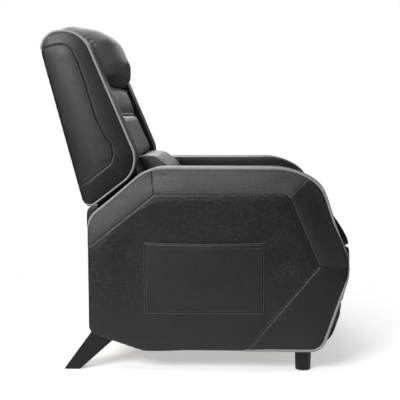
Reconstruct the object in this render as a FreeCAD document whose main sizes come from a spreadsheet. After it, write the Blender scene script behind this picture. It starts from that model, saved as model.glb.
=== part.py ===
import FreeCAD, Part

import math
import os
from types import SimpleNamespace

import Sketcher

# A gaming recliner armchair: two upholstered arms on legs carry a backrest that leans back about a
# low pivot, a seat that glides forward as it does, and a footrest on two double-parallelogram linkages.
# Millimetres. +Z is up, the chair faces -Y, and +X is the sitter's left. The origin is on the floor
# under the middle of the chair.

SIZES = {
    # arms, in side view
    "overall_width": 780,
    "arm_width": 115,
    "arm_rear": 321,
    "arm_rear_bottom": 121,
    "arm_rear_shoulder": 462,
    "arm_top": 609,
    "arm_top_rear": 148,
    "arm_top_front": -318,
    "arm_nose": -449,
    "arm_nose_height": 322,
    "arm_bottom": 68,
    "arm_toe": -362,
    "arm_keel": 164,
    "arm_heel_round": 26,
    "arm_shoulder_round": 60,
    "arm_crown_round": 120,
    "arm_front_round": 150,
    "arm_toe_round": 46,
    "arm_keel_round": 60,
    "outer_pad": 20,
    "inner_pad": 12,
    "inner_pad_bottom": 300,
    "edge_pad": 14,
    "panel": 9,
    "arm_rail": 40,
    # side pockets
    "pocket_front": -193,
    "pocket_length": 352,
    "pocket_bottom": 180,
    "pocket_height": 210,
    "pocket_gap": 5.5,
    "pocket_sheet": 2.5,
    "pocket_hem": 6,
    # legs
    "front_leg_radius": 25,
    "front_leg_foot_radius": 23,
    "front_leg_set_back": 315,
    "rear_leg_toe": 406,
    "rear_leg_toe_length": 48,
    "rear_leg_top_rear": 318,
    "rear_leg_top_front": 250,
    "rear_leg_inset": 25,
    "rear_leg_width": 45,
    "leg_bolt_radius": 4,
    "leg_bolt_length": 58,
    # base between the arms
    "cross_rail_depth": 40,
    "cross_rail_height": 55,
    "front_cross_rail": -130,
    "rear_panel_face": 315,
    "rear_panel": 18,
    "rear_panel_roll_gap": 9,
    "rear_panel_bottom": 125,
    "dust_cover": 3,
    # seat glide
    "glide_height": 275,
    "glide_travel": 50,
    "roller_radius": 9,
    "roller_axle_radius": 4,
    "roller_front": -60,
    "roller_rear": 100,
    "channel_depth": 15,
    "channel_wall": 3,
    "channel_lip": 11,
    # seat
    "seat_top": 470,
    "seat_rear_top": 458,
    "seat_front": -462,
    "seat_rear": 118,
    "seat_side_gap": 5,
    "seat_rail": 22,
    "seat_rail_bottom": 322,
    "seat_rail_top": 370,
    "seat_frame_front": -365,
    "seat_frame_rear": 60,
    "webbing": 2,
    "webbing_width": 50,
    # footrest linkage
    "plate_thickness": 4,
    "plate_side_gap": 13,
    "plate_front": -280,
    "plate_rear": 120,
    "plate_bottom": 255,
    "plate_top": 345,
    "link_thickness": 4,
    "link_half_width": 11,
    "link_gap": 1.5,
    "stud_radius": 5,
    "stud_head_radius": 8,
    "stud_head": 2,
    "running_gap": 0.05,
    "swing_pivot_y": -250,
    "swing_pivot_z": 308,
    "swing_length": 210,
    "swing_angle": 77,
    "guide_offset_y": 38,
    "guide_offset_z": -24,
    "footrest_pivot_y": -372,
    "footrest_pivot_z": 221,
    "control_offset": 42,
    "torque_tube_reach": 60,
    "torque_tube_radius": 9,
    # footrest
    "board_back": -383,
    "board": 12,
    "board_bottom": 75,
    "board_top": 355,
    "footrest_side_gap": 7,
    "upper_pad_depth": 65,
    "upper_pad_bottom": 191,
    "upper_pad_top": 363,
    "lower_pad_depth": 56,
    "lower_pad_bottom": 68,
    "bracket_flange": 38,
    "bracket_bottom": 85,
    "bracket_flange_top": 200,
    "bracket_top": 285,
    # backrest
    "pivot_y": 275,
    "pivot_z": 412,
    "pivot_radius": 8,
    "roll_radius": 73,
    "roll_flat": 5,
    "roll_rear_round": 28,
    "back_side_gap": 13,
    "back_rear_y": 339,
    "back_rear_z": 511,
    "back_rear_slope": 0.27,
    "back_front_y": 227,
    "back_front_z": 690,
    "back_front_slope": 0.388,
    "back_top": 1005,
    "frame_roll_gap": 5,
    "rear_cover": 12,
    "rear_cover_inset": 10,
    "stile_depth": 38,
    "stile_width": 36,
    "stile_inset": 16,
    "hinge_arm": 6,
    "hinge_arm_half_width": 15,
    "hinge_arm_top": 640,
    "back_webbing": 3,
    "back_rail": 40,
    "pad_seam": 2,
    "main_pad_bottom": 622,
    "upper_pad_line": 767,
    "headrest_line": 857,
    "headrest_front": 241,
    "headrest_front_z": 886,
    "headrest_top": 1048,
    # wings
    "wing_width": 88,
    "wing_heel_y": 341,
    "wing_heel_z": 479,
    "wing_rear_y": 480,
    "wing_rear_z": 1002,
    "wing_front_y": 352,
    "wing_front_z": 1014,
    "wing_elbow_y": 172,
    "wing_elbow_z": 605,
    "wing_heel_round": 24,
    "wing_rear_round": 55,
    "wing_front_round": 85,
    "wing_elbow_round": 80,
    # lumbar pillow
    "pillow_half_width": 190,
    "pillow_bottom": 476,
    "pillow_top": 638,
    "pillow_depth": 92,
    "pillow_gap": 2,
    # softness of cushion edges
    "cushion_round": 18,
}

SIDES = (("left", 1), ("right", -1))
POSITION_TOLERANCE = 0.01

doc = FreeCAD.newDocument("recliner")
nodes = {}


# ---------------------------------------------------------------- values that carry their expression


class Term:
    """A number together with the sheet expression that gives it."""

    def __init__(self, number, text):
        self.number = number
        self.text = text

    def __add__(self, other):
        other = term(other)
        return Term(self.number + other.number, f"({self.text} + {other.text})")

    def __sub__(self, other):
        other = term(other)
        return Term(self.number - other.number, f"({self.text} - {other.text})")

    def __mul__(self, other):
        other = term(other)
        return Term(self.number * other.number, f"({self.text} * {other.text})")

    def __truediv__(self, other):
        other = term(other)
        return Term(self.number / other.number, f"({self.text} / {other.text})")

    def __neg__(self):
        return Term(-self.number, f"(0 - {self.text})")

    def __radd__(self, other):
        return term(other) + self

    def __rsub__(self, other):
        return term(other) - self

    def __rmul__(self, other):
        return term(other) * self


def term(value):
    if isinstance(value, Term):
        return value
    return Term(float(value), f"({float(value):.9f})")


def write_sheet():
    sheet = doc.addObject("Spreadsheet::Sheet", "Sizes")
    for row, (name, number) in enumerate(SIZES.items(), 1):
        sheet.set(f"A{row}", name)
        sheet.set(f"B{row}", str(number))
        sheet.setAlias(f"B{row}", name)
    doc.recompute()
    return SimpleNamespace(**{name: Term(float(n), f"Sizes.{name}") for name, n in SIZES.items()})


def bind(thing, path, value):
    thing.setExpression(path, term(value).text)


# ---------------------------------------------------------------- points and outlines in side view


def shift(point, dy, dz):
    return (point[0] + dy, point[1] + dz)


def direction(start, end):
    dy = term(end[0]).number - term(start[0]).number
    dz = term(end[1]).number - term(start[1]).number
    length = math.hypot(dy, dz)
    return dy / length, dz / length


def inset(outline, depths, less_round):
    """The outline with each edge moved inwards by its own depth and every corner round reduced.

    Edge i runs from point i to point i + 1.
    """
    count = len(outline)
    moved = []
    for i, (y, z, radius) in enumerate(outline):
        before = direction(outline[i - 1], outline[i])
        after = direction(outline[i], outline[(i + 1) % count])
        normal_a = (-before[1], before[0])
        normal_b = (-after[1], after[0])
        cross = normal_a[0] * normal_b[1] - normal_a[1] * normal_b[0]
        depth_a = term(depths[i - 1])
        depth_b = term(depths[i])
        dy = depth_a * (normal_b[1] / cross) - depth_b * (normal_a[1] / cross)
        dz = depth_b * (normal_a[0] / cross) - depth_a * (normal_b[0] / cross)
        moved.append((y + dy, z + dz, radius - less_round))
    return moved


def across(sign, near, far):
    """Start and length along X of a piece that lies between two distances from the middle plane."""
    near = term(near)
    far = term(far)
    return (near if sign > 0 else -far), far - near


# ---------------------------------------------------------------- sketches and features


def origin_plane(body, role):
    return next(f for f in body.Origin.OriginFeatures if f.Role == role)


def side_sketch(body, name, offset):
    """A sketch in the side plane, its x along Y and its y along Z, out along X by the offset."""
    sketch = body.newObject("Sketcher::SketchObject", name)
    sketch.AttachmentSupport = [(origin_plane(body, "YZ_Plane"), "")]
    sketch.MapMode = "FlatFace"
    bind(sketch, "AttachmentOffset.Base.z", offset)
    return sketch


def place_point(sketch, geometry, position, point):
    """Hold one point of a sketch at its distances from the sketch's origin."""
    for kind, value in (("DistanceX", point[0]), ("DistanceY", point[1])):
        rule = Sketcher.Constraint(kind, -1, 1, geometry, position, term(value).number)
        index = sketch.addConstraint(rule)
        bind(sketch, f"Constraints[{index}]", value)


def polygon_sketch(body, name, points, offset):
    sketch = side_sketch(body, name, offset)
    count = len(points)
    corners = [FreeCAD.Vector(term(p[0]).number, term(p[1]).number, 0) for p in points]
    for i in range(count):
        sketch.addGeometry(Part.LineSegment(corners[i], corners[(i + 1) % count]), False)
    for i in range(count):
        sketch.addConstraint(Sketcher.Constraint("Coincident", i, 2, (i + 1) % count, 1))
    for i, point in enumerate(points):
        place_point(sketch, i, 1, point)
    return sketch


def circle_sketch(body, name, centre, radius, offset):
    sketch = side_sketch(body, name, offset)
    radius = term(radius)
    middle = FreeCAD.Vector(term(centre[0]).number, term(centre[1]).number, 0)
    sketch.addGeometry(Part.Circle(middle, FreeCAD.Vector(0, 0, 1), radius.number), False)
    place_point(sketch, 0, 3, centre)
    index = sketch.addConstraint(Sketcher.Constraint("Radius", 0, radius.number))
    bind(sketch, f"Constraints[{index}]", radius)
    return sketch


def slot_sketch(body, name, start, end, radius, offset):
    """A strip's outline: two round ends joined by straight sides."""
    sketch = side_sketch(body, name, offset)
    radius = term(radius)
    heading = math.atan2(direction(start, end)[1], direction(start, end)[0])
    quarter = math.pi / 2
    up = FreeCAD.Vector(0, 0, 1)
    centre_a = FreeCAD.Vector(term(start[0]).number, term(start[1]).number, 0)
    centre_b = FreeCAD.Vector(term(end[0]).number, term(end[1]).number, 0)
    arc_a = Part.ArcOfCircle(Part.Circle(centre_a, up, radius.number), heading + quarter, heading + 3 * quarter)
    arc_b = Part.ArcOfCircle(Part.Circle(centre_b, up, radius.number), heading - quarter, heading + quarter)
    sketch.addGeometry(arc_a, False)
    sketch.addGeometry(Part.LineSegment(arc_a.EndPoint, arc_b.StartPoint), False)
    sketch.addGeometry(arc_b, False)
    sketch.addGeometry(Part.LineSegment(arc_b.EndPoint, arc_a.StartPoint), False)
    for first, second in ((0, 1), (1, 2), (2, 3), (3, 0)):
        sketch.addConstraint(Sketcher.Constraint("Tangent", first, 2, second, 1))
    sketch.addConstraint(Sketcher.Constraint("Equal", 0, 2))
    place_point(sketch, 0, 3, start)
    place_point(sketch, 2, 3, end)
    index = sketch.addConstraint(Sketcher.Constraint("Radius", 0, radius.number))
    bind(sketch, f"Constraints[{index}]", radius)
    return sketch


def pad(body, sketch, length):
    feature = body.newObject("PartDesign::Pad", sketch.Name + "_pad")
    feature.Profile = sketch
    bind(feature, "Length", length)
    doc.recompute()
    return feature


def pocket(body, sketch, length):
    """Cut from the sketch towards -X; the volume shows that it went into the solid."""
    before = body.Shape.Volume
    feature = body.newObject("PartDesign::Pocket", sketch.Name + "_cut")
    feature.Profile = sketch
    bind(feature, "Length", length)
    doc.recompute()
    if body.Shape.Volume >= before - 1:
        raise RuntimeError(f"{sketch.Name} cuts nothing from {body.Label}")
    return feature


def edges_along_x(shape, point):
    """Names of the edges that run along X through one point of the side view."""
    y = term(point[0]).number
    z = term(point[1]).number
    found = []
    for number, edge in enumerate(shape.Edges, 1):
        ends = [v.Point for v in edge.Vertexes]
        if all(abs(p.y - y) < POSITION_TOLERANCE and abs(p.z - z) < POSITION_TOLERANCE for p in ends):
            found.append(f"Edge{number}")
    return found


def round_corners(body, feature, outline):
    """One fillet feature for each radius that the outline's corners ask for."""
    radii = []
    for corner in outline:
        if corner[2] is not None and corner[2].text not in [r.text for r in radii]:
            radii.append(corner[2])
    for radius in radii:
        names = []
        for corner in outline:
            if corner[2] is not None and corner[2].text == radius.text:
                names += edges_along_x(feature.Shape, corner)
        rounded = body.newObject("PartDesign::Fillet", f"{body.Name}_round")
        rounded.Base = (feature, names)
        bind(rounded, "Radius", radius)
        doc.recompute()
        feature = rounded
    return feature


def new_body(name):
    body = doc.addObject("PartDesign::Body", name)
    body.Label = name
    return body


def plate(name, outline, start, length):
    """A piece of constant side profile; each corner is (y, z, radius or None), counter-clockwise."""
    body = new_body(name)
    feature = pad(body, polygon_sketch(body, name + "_outline", outline, start), length)
    round_corners(body, feature, outline)
    return body


def strip(name, start, end, radius, offset, length):
    body = new_body(name)
    pad(body, slot_sketch(body, name + "_outline", start, end, radius, offset), length)
    return body


def bore(body, name, centre, radius, start, length):
    """A round hole along X from start, through the given length."""
    pocket(body, circle_sketch(body, name, centre, radius, start + length), length)


def boss(body, name, centre, radius, start, length):
    """A round stud along X, joined to the body."""
    pad(body, circle_sketch(body, name, centre, radius, start), length)


def stud(body, name, sign, centre, outer, inner):
    """A riveted stud from the body's inner face towards the middle, with its head at the inner end."""
    start, length = across(sign, inner, outer)
    boss(body, name, centre, cell.stud_radius, start, length)
    start, length = across(sign, inner - cell.stud_head, inner)
    boss(body, name + "_head", centre, cell.stud_head_radius, start, length)


# ---------------------------------------------------------------- primitives


def box(name, low, span, turn=0.0):
    """A box from its low corner, turned about X by the given degrees."""
    solid = doc.addObject("Part::Box", name)
    solid.Placement.Rotation = FreeCAD.Rotation(FreeCAD.Vector(1, 0, 0), turn)
    for path, value in zip(("Length", "Width", "Height"), span):
        bind(solid, path, value)
    for axis, value in zip("xyz", low):
        bind(solid, f"Placement.Base.{axis}", value)
    return solid


def rod(name, base, radius, length, upright=False):
    """A cylinder along +X, or along +Z when upright."""
    solid = doc.addObject("Part::Cylinder", name)
    if not upright:
        solid.Placement.Rotation = FreeCAD.Rotation(FreeCAD.Vector(0, 1, 0), 90)
    bind(solid, "Radius", radius)
    bind(solid, "Height", length)
    for axis, value in zip("xyz", base):
        bind(solid, f"Placement.Base.{axis}", value)
    return solid


def cut(name, solid, tool):
    result = doc.addObject("Part::Cut", name)
    result.Base = solid
    result.Tool = tool
    return result


def group(name, solids):
    result = doc.addObject("Part::Compound", name)
    result.Links = solids
    return result


def keep(node, thing):
    thing.Label = node
    nodes[node] = thing


# ---------------------------------------------------------------- shared lines of the chair

cell = write_sheet()
half_width = cell.overall_width / 2
arm_inner = half_width - cell.arm_width
arm_middle = half_width - cell.arm_width / 2
plate_outer = arm_inner - cell.plate_side_gap
link_outer = plate_outer - cell.plate_thickness - cell.link_gap
link_inner = link_outer - cell.link_thickness
reach_outer = link_inner - cell.link_gap
reach_inner = reach_outer - cell.link_thickness
back_half_width = arm_inner - cell.back_side_gap
stile_outer = back_half_width - cell.stile_inset
back_bottom = cell.pivot_z + cell.roll_radius + cell.frame_roll_gap
rear_panel_top = cell.pivot_z - cell.roll_radius - cell.rear_panel_roll_gap
pivot = (cell.pivot_y, cell.pivot_z)


def arm_outline():
    """The arm seen from the side, counter-clockwise from the rear bottom corner, rear at +Y."""
    return [
        (cell.arm_rear, cell.arm_rear_bottom, cell.arm_heel_round),
        (cell.arm_rear, cell.arm_rear_shoulder, cell.arm_shoulder_round),
        (cell.arm_top_rear, cell.arm_top, cell.arm_crown_round),
        (cell.arm_top_front, cell.arm_top, cell.arm_front_round),
        (cell.arm_nose, cell.arm_nose_height, cell.arm_front_round),
        (cell.arm_toe, cell.arm_bottom, cell.arm_toe_round),
        (cell.arm_keel, cell.arm_bottom, cell.arm_keel_round),
    ]


def arm_core_outline(bottom_depth):
    """The wooden core's outline: inside the edge padding, with its own depth at the open bottom."""
    pad_depths = [cell.edge_pad] * 5
    return inset(arm_outline(), pad_depths + [bottom_depth, bottom_depth], cell.edge_pad)


def arm_underside(y):
    """Height of the arm's rising rear underside."""
    rise = (cell.arm_rear_bottom - cell.arm_bottom) / (cell.arm_rear - cell.arm_keel)
    return cell.arm_bottom + (y - cell.arm_keel) * rise


def back_rear(z):
    return cell.back_rear_y + (z - cell.back_rear_z) * cell.back_rear_slope


def back_front(z):
    return cell.back_front_y + (z - cell.back_front_z) * cell.back_front_slope


def frame_rear(z):
    return back_rear(z) - cell.rear_cover_inset - cell.rear_cover


def frame_front(z):
    return frame_rear(z) - cell.stile_depth


def pad_rear(z):
    return frame_front(z) - cell.back_webbing


# ---------------------------------------------------------------- arms


def leg_bolt(side, sign, where, y, base, radius):
    return rod(f"{where}_bolt_{side}", (arm_middle * sign, y, base), radius, cell.leg_bolt_length, upright=True)


def front_bolt_base():
    return cell.arm_bottom - cell.leg_bolt_length / 2


def rear_bolt_y():
    return cell.rear_leg_top_rear - cell.rear_leg_width * 0.75


def rear_bolt_base():
    return arm_underside(rear_bolt_y()) - cell.leg_bolt_length / 2


def bolt_tool(side, sign, where, purpose):
    """A bolt-sized cutter for the hole that the bolt sits in."""
    y = -cell.front_leg_set_back if where == "front" else rear_bolt_y()
    base = front_bolt_base() if where == "front" else rear_bolt_base()
    return leg_bolt(f"{side}_{purpose}", sign, where, y, base, cell.leg_bolt_radius)


def arm_rails(side, sign):
    """Timber rails between the arm's two plywood panels: bottom, top, front, rear and a leg block."""
    start, length = across(sign, arm_inner + cell.inner_pad + cell.panel, half_width - cell.outer_pad - cell.panel)
    rail = cell.arm_rail
    edge = cell.edge_pad
    top = cell.arm_top - edge
    front = cell.arm_top_front + edge
    top_front = cell.arm_top_front + cell.arm_front_round * 0.7
    top_rear = cell.arm_top_rear - cell.arm_crown_round / 2
    rear = cell.arm_rear - edge
    keel = cell.arm_keel - edge
    bottom_front = cell.arm_toe + edge * 2
    bottom = box(f"arm_bottom_rail_{side}", (start, bottom_front, cell.arm_bottom), (length, keel - bottom_front, rail))
    block_y = rear - rail * 1.5
    block_z = arm_underside(rear) + edge / 2
    block = box(f"arm_leg_block_{side}", (start, block_y, block_z), (length, rail * 1.5, rail))
    post_bottom = cell.arm_bottom + rail
    return [
        cut(f"arm_bottom_rail_drilled_{side}", bottom, bolt_tool(side, sign, "front", "rail_hole")),
        cut(f"arm_leg_block_drilled_{side}", block, bolt_tool(side, sign, "rear", "block_hole")),
        box(f"arm_top_rail_{side}", (start, top_front, top - rail), (length, top_rear - top_front, rail)),
        box(
            f"arm_front_post_{side}",
            (start, front, post_bottom),
            (length, rail, top - rail - post_bottom),
        ),
        box(
            f"arm_rear_post_{side}",
            (start, rear - rail, block_z + rail),
            (length, rail, cell.arm_rear_shoulder - cell.arm_shoulder_round - block_z - rail),
        ),
    ]


def make_arm(side, sign):
    outer_face = half_width - cell.outer_pad
    inner_face = arm_inner + cell.inner_pad
    start, length = across(sign, outer_face - cell.panel, outer_face)
    outer_panel = plate(f"arm_outer_panel_{side}", arm_core_outline(0), start, length)
    start, length = across(sign, inner_face, inner_face + cell.panel)
    inner_panel = plate(f"arm_inner_panel_{side}", arm_core_outline(0), start, length)
    bore(inner_panel, f"panel_pivot_hole_{side}", pivot, cell.pivot_radius, start, length)
    keep(f"arm_frame_{side}", group(f"arm_frame_{side}", [outer_panel, inner_panel] + arm_rails(side, sign)))

    start, length = across(sign, outer_face, half_width)
    keep(f"arm_outer_pad_{side}", plate(f"arm_outer_pad_{side}", arm_outline(), start, length))

    start, length = across(sign, arm_inner, inner_face)
    inner = plate(f"arm_inner_pad_{side}", arm_outline(), start, length)
    lower = [
        (cell.arm_rear + 1, cell.arm_bottom - 1, None),
        (cell.arm_rear + 1, cell.inner_pad_bottom, None),
        (cell.arm_nose - 1, cell.inner_pad_bottom, None),
        (cell.arm_nose - 1, cell.arm_bottom - 1, None),
    ]
    pocket(inner, polygon_sketch(inner, f"pad_lower_edge_{side}", lower, start + length), length)
    bore(inner, f"pad_pivot_hole_{side}", pivot, cell.pivot_radius, start, length)
    keep(f"arm_inner_pad_{side}", inner)

    start, length = across(sign, inner_face, outer_face)
    block = plate(f"arm_boxing_block_{side}", arm_outline(), start, length)
    core = plate(f"arm_boxing_core_{side}", arm_core_outline(-cell.edge_pad), start, length)
    keep(f"arm_boxing_{side}", cut(f"arm_boxing_{side}", block, core))


def make_pocket(side, sign):
    """A flat pocket on the arm's outer face, closed at the bottom and both ends, open at the top."""
    hem = cell.pocket_hem
    low_y = cell.pocket_front
    low_z = cell.pocket_bottom
    gap_start, gap = across(sign, half_width, half_width + cell.pocket_gap)
    face = half_width + cell.pocket_gap
    sheet_start, sheet = across(sign, face, face + cell.pocket_sheet)
    high_y = low_y + cell.pocket_length - hem
    side_low = low_z + hem
    side_height = cell.pocket_height - hem
    pieces = [
        box(f"pocket_sheet_{side}", (sheet_start, low_y, low_z), (sheet, cell.pocket_length, cell.pocket_height)),
        box(f"pocket_bottom_{side}", (gap_start, low_y, low_z), (gap, cell.pocket_length, hem)),
        box(f"pocket_front_{side}", (gap_start, low_y, side_low), (gap, hem, side_height)),
        box(f"pocket_rear_{side}", (gap_start, high_y, side_low), (gap, hem, side_height)),
    ]
    keep(f"side_pocket_{side}", group(f"side_pocket_{side}", pieces))


def make_legs(side, sign):
    cone = doc.addObject("Part::Cone", f"front_leg_solid_{side}")
    bind(cone, "Radius1", cell.front_leg_foot_radius)
    bind(cone, "Radius2", cell.front_leg_radius)
    bind(cone, "Height", cell.arm_bottom)
    bind(cone, "Placement.Base.x", arm_middle * sign)
    bind(cone, "Placement.Base.y", -cell.front_leg_set_back)
    front = cut(f"front_leg_{side}", cone, bolt_tool(side, sign, "front", "leg_hole"))
    keep(f"front_leg_{side}", front)

    top_rear = cell.rear_leg_top_rear
    top_front = cell.rear_leg_top_front
    outline = [
        (cell.rear_leg_toe - cell.rear_leg_toe_length, term(0), None),
        (cell.rear_leg_toe, term(0), None),
        (top_rear, arm_underside(top_rear), None),
        (top_front, arm_underside(top_front), None),
    ]
    outer = half_width - cell.rear_leg_inset
    start, length = across(sign, outer - cell.rear_leg_width, outer)
    blade = plate(f"rear_leg_solid_{side}", outline, start, length)
    keep(f"rear_leg_{side}", cut(f"rear_leg_{side}", blade, bolt_tool(side, sign, "rear", "leg_hole")))


def make_leg_bolts():
    bolts = []
    for side, sign in SIDES:
        for where in ("front", "rear"):
            bolts.append(bolt_tool(side, sign, where, "bolt"))
    keep("leg_bolts", group("leg_bolts", bolts))


# ---------------------------------------------------------------- base between the arms


def make_base():
    reach = arm_inner + cell.inner_pad
    span = reach * 2
    depth = cell.cross_rail_depth
    height = cell.cross_rail_height
    front_low = (-reach, cell.front_cross_rail, cell.arm_bottom + cell.dust_cover)
    keep("front_cross_rail", box("front_cross_rail", front_low, (span, depth, height)))
    panel_back = cell.rear_panel_face - cell.rear_panel
    rear_low = (-reach, panel_back - depth, cell.rear_panel_bottom)
    keep("rear_cross_rail", box("rear_cross_rail", rear_low, (span, depth, height)))
    panel_low = (-arm_inner, panel_back, cell.rear_panel_bottom)
    panel_span = (arm_inner * 2, cell.rear_panel, rear_panel_top - cell.rear_panel_bottom)
    keep("base_rear_panel", box("base_rear_panel", panel_low, panel_span))
    cover_low = (-reach, cell.front_cross_rail, cell.arm_bottom)
    cover_span = (span, cell.arm_keel - cell.front_cross_rail, cell.dust_cover)
    keep("dust_cover", box("dust_cover", cover_low, cover_span))


def make_pivot_pins():
    pins = []
    inner_end = stile_outer - cell.stud_head
    outer_end = arm_inner + cell.inner_pad + cell.panel
    for side, sign in SIDES:
        start, length = across(sign, inner_end, outer_end)
        pins.append(rod(f"pivot_pin_{side}", (start, cell.pivot_y, cell.pivot_z), cell.pivot_radius, length))
    keep("back_pivot_pins", group("back_pivot_pins", pins))


def make_slide_channels():
    """Steel channels on the arms' inner panels; the seat's rollers run in their slots."""
    clearance = cell.roller_radius + cell.running_gap * 2
    wall = arm_inner + cell.inner_pad
    slot_front = cell.roller_front - cell.glide_travel - clearance - cell.channel_wall
    slot_length = cell.roller_rear - slot_front + clearance + cell.channel_wall
    channels = []
    for side, sign in SIDES:
        start, length = across(sign, wall - cell.channel_depth, wall)
        low = (start, slot_front - cell.channel_lip, cell.glide_height - clearance - cell.channel_lip)
        span = (length, slot_length + cell.channel_lip * 2, (clearance + cell.channel_lip) * 2)
        block = box(f"channel_block_{side}", low, span)
        start, length = across(sign, wall - cell.channel_depth, wall - cell.channel_wall)
        slot = box(
            f"channel_slot_{side}",
            (start, slot_front, cell.glide_height - clearance),
            (length, slot_length, clearance * 2),
        )
        channels.append(cut(f"channel_{side}", block, slot))
    keep("seat_slide_channels", group("seat_slide_channels", channels))


# ---------------------------------------------------------------- seat


def make_seat_frame():
    outer = plate_outer - cell.plate_thickness
    inner = outer - cell.seat_rail
    height = cell.seat_rail_top - cell.seat_rail_bottom
    long = cell.seat_frame_rear - cell.seat_frame_front
    for side, sign in SIDES:
        start, length = across(sign, inner, outer)
        low = (start, cell.seat_frame_front, cell.seat_rail_bottom)
        keep(f"seat_side_rail_{side}", box(f"seat_side_rail_{side}", low, (length, long, height)))
    depth = cell.cross_rail_depth
    front_low = (-inner, cell.seat_frame_front, cell.seat_rail_bottom)
    keep("seat_front_rail", box("seat_front_rail", front_low, (inner * 2, depth, height)))
    rear_low = (-inner, cell.seat_frame_rear - depth, cell.seat_rail_bottom)
    keep("seat_rear_rail", box("seat_rear_rail", rear_low, (inner * 2, depth, height)))


def make_seat_webbing():
    count = 6
    span = (plate_outer - cell.plate_thickness) * 2
    pitch = (span - cell.webbing_width) / (count - 1)
    straps = []
    long = cell.seat_frame_rear - cell.seat_frame_front
    for i in range(count):
        low = (pitch * i - span / 2, cell.seat_frame_front, cell.seat_rail_top)
        straps.append(box(f"seat_strap_{i + 1}", low, (cell.webbing_width, long, cell.webbing)))
    keep("seat_webbing", group("seat_webbing", straps))


def make_seat_cushion():
    bottom = cell.seat_rail_top + cell.webbing
    soft = cell.cushion_round
    outline = [
        (cell.seat_rear, bottom, soft),
        (cell.seat_rear, cell.seat_rear_top, soft),
        (cell.seat_front + soft * 3.5, cell.seat_top, soft * 2),
        (cell.seat_front, cell.seat_top - soft * 3, soft),
        (cell.seat_front + soft / 2, bottom, soft),
    ]
    reach = arm_inner - cell.seat_side_gap
    keep("seat_cushion", plate("seat_cushion", outline, -reach, reach * 2))


def make_slide_rollers():
    pieces = []
    wall = arm_inner + cell.inner_pad
    disc_outer = wall - cell.channel_wall - cell.link_gap
    disc_inner = wall - cell.channel_depth
    for side, sign in SIDES:
        for where, y in (("front", cell.roller_front), ("rear", cell.roller_rear)):
            start, length = across(sign, disc_inner, disc_outer)
            pieces.append(rod(f"roller_{where}_{side}", (start, y, cell.glide_height), cell.roller_radius, length))
            start, length = across(sign, plate_outer, disc_inner)
            axle = (start, y, cell.glide_height)
            pieces.append(rod(f"roller_axle_{where}_{side}", axle, cell.roller_axle_radius, length))
    keep("seat_slide_rollers", group("seat_slide_rollers", pieces))


# ---------------------------------------------------------------- footrest linkage

swing_pivot = (cell.swing_pivot_y, cell.swing_pivot_z)
swing_cos = math.cos(math.radians(cell.swing_angle.number))
swing_sin = math.sin(math.radians(cell.swing_angle.number))


def along_swing(distance):
    """A point on the stowed swing link, at a distance from its pivot on the seat."""
    return shift(swing_pivot, term(distance) * swing_cos, -(term(distance) * swing_sin))


guide_pivot = shift(swing_pivot, cell.guide_offset_y, cell.guide_offset_z)
reach_pivot = along_swing(cell.swing_length)
control_pivot = along_swing(cell.swing_length - cell.control_offset)
guide_end = shift(reach_pivot, cell.guide_offset_y, cell.guide_offset_z)
footrest_pivot = (cell.footrest_pivot_y, cell.footrest_pivot_z)
control_end = shift(
    footrest_pivot, -(cell.control_offset * swing_cos), cell.control_offset * swing_sin
)


def make_mechanism_plate(side, sign):
    """The seat's steel side plate, with the studs that the swing and guide links turn on."""
    inner = plate_outer - cell.plate_thickness
    start, length = across(sign, inner, plate_outer)
    outline = [
        (cell.plate_rear, cell.plate_bottom, cell.cushion_round),
        (cell.plate_rear, cell.plate_top, cell.cushion_round),
        (cell.plate_front, cell.plate_top, cell.cushion_round),
        (cell.plate_front, cell.plate_bottom, cell.cushion_round),
    ]
    body = plate(f"mechanism_plate_{side}", outline, start, length)
    head_start = link_inner - cell.link_gap / 3
    stud(body, f"swing_stud_{side}", sign, swing_pivot, inner, head_start)
    stud(body, f"guide_stud_{side}", sign, guide_pivot, inner, head_start)
    keep(f"mechanism_plate_{side}", body)


def outer_link(name, sign, side, pivot_at, end, extra_studs):
    """A link in the outer layer: bored at its pivot on the seat, studded where inner links join it."""
    start, length = across(sign, link_inner, link_outer)
    body = strip(f"{name}_{side}", pivot_at, end, cell.link_half_width, start, length)
    bore(body, f"{name}_bore_{side}", pivot_at, cell.stud_radius + cell.running_gap, start, length)
    head_start = reach_inner - cell.link_gap / 3
    for number, centre in enumerate([end] + extra_studs, 1):
        stud(body, f"{name}_stud_{number}_{side}", sign, centre, link_inner, head_start)
    keep(f"{name}_{side}", body)


def inner_link(name, sign, side, start_at, end, bores):
    """A link in the inner layer, bored wherever it turns on a stud."""
    start, length = across(sign, reach_inner, reach_outer)
    body = strip(f"{name}_{side}", start_at, end, cell.link_half_width, start, length)
    for number, centre in enumerate(bores, 1):
        bore(body, f"{name}_bore_{number}_{side}", centre, cell.stud_radius + cell.running_gap, start, length)
    keep(f"{name}_{side}", body)


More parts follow.
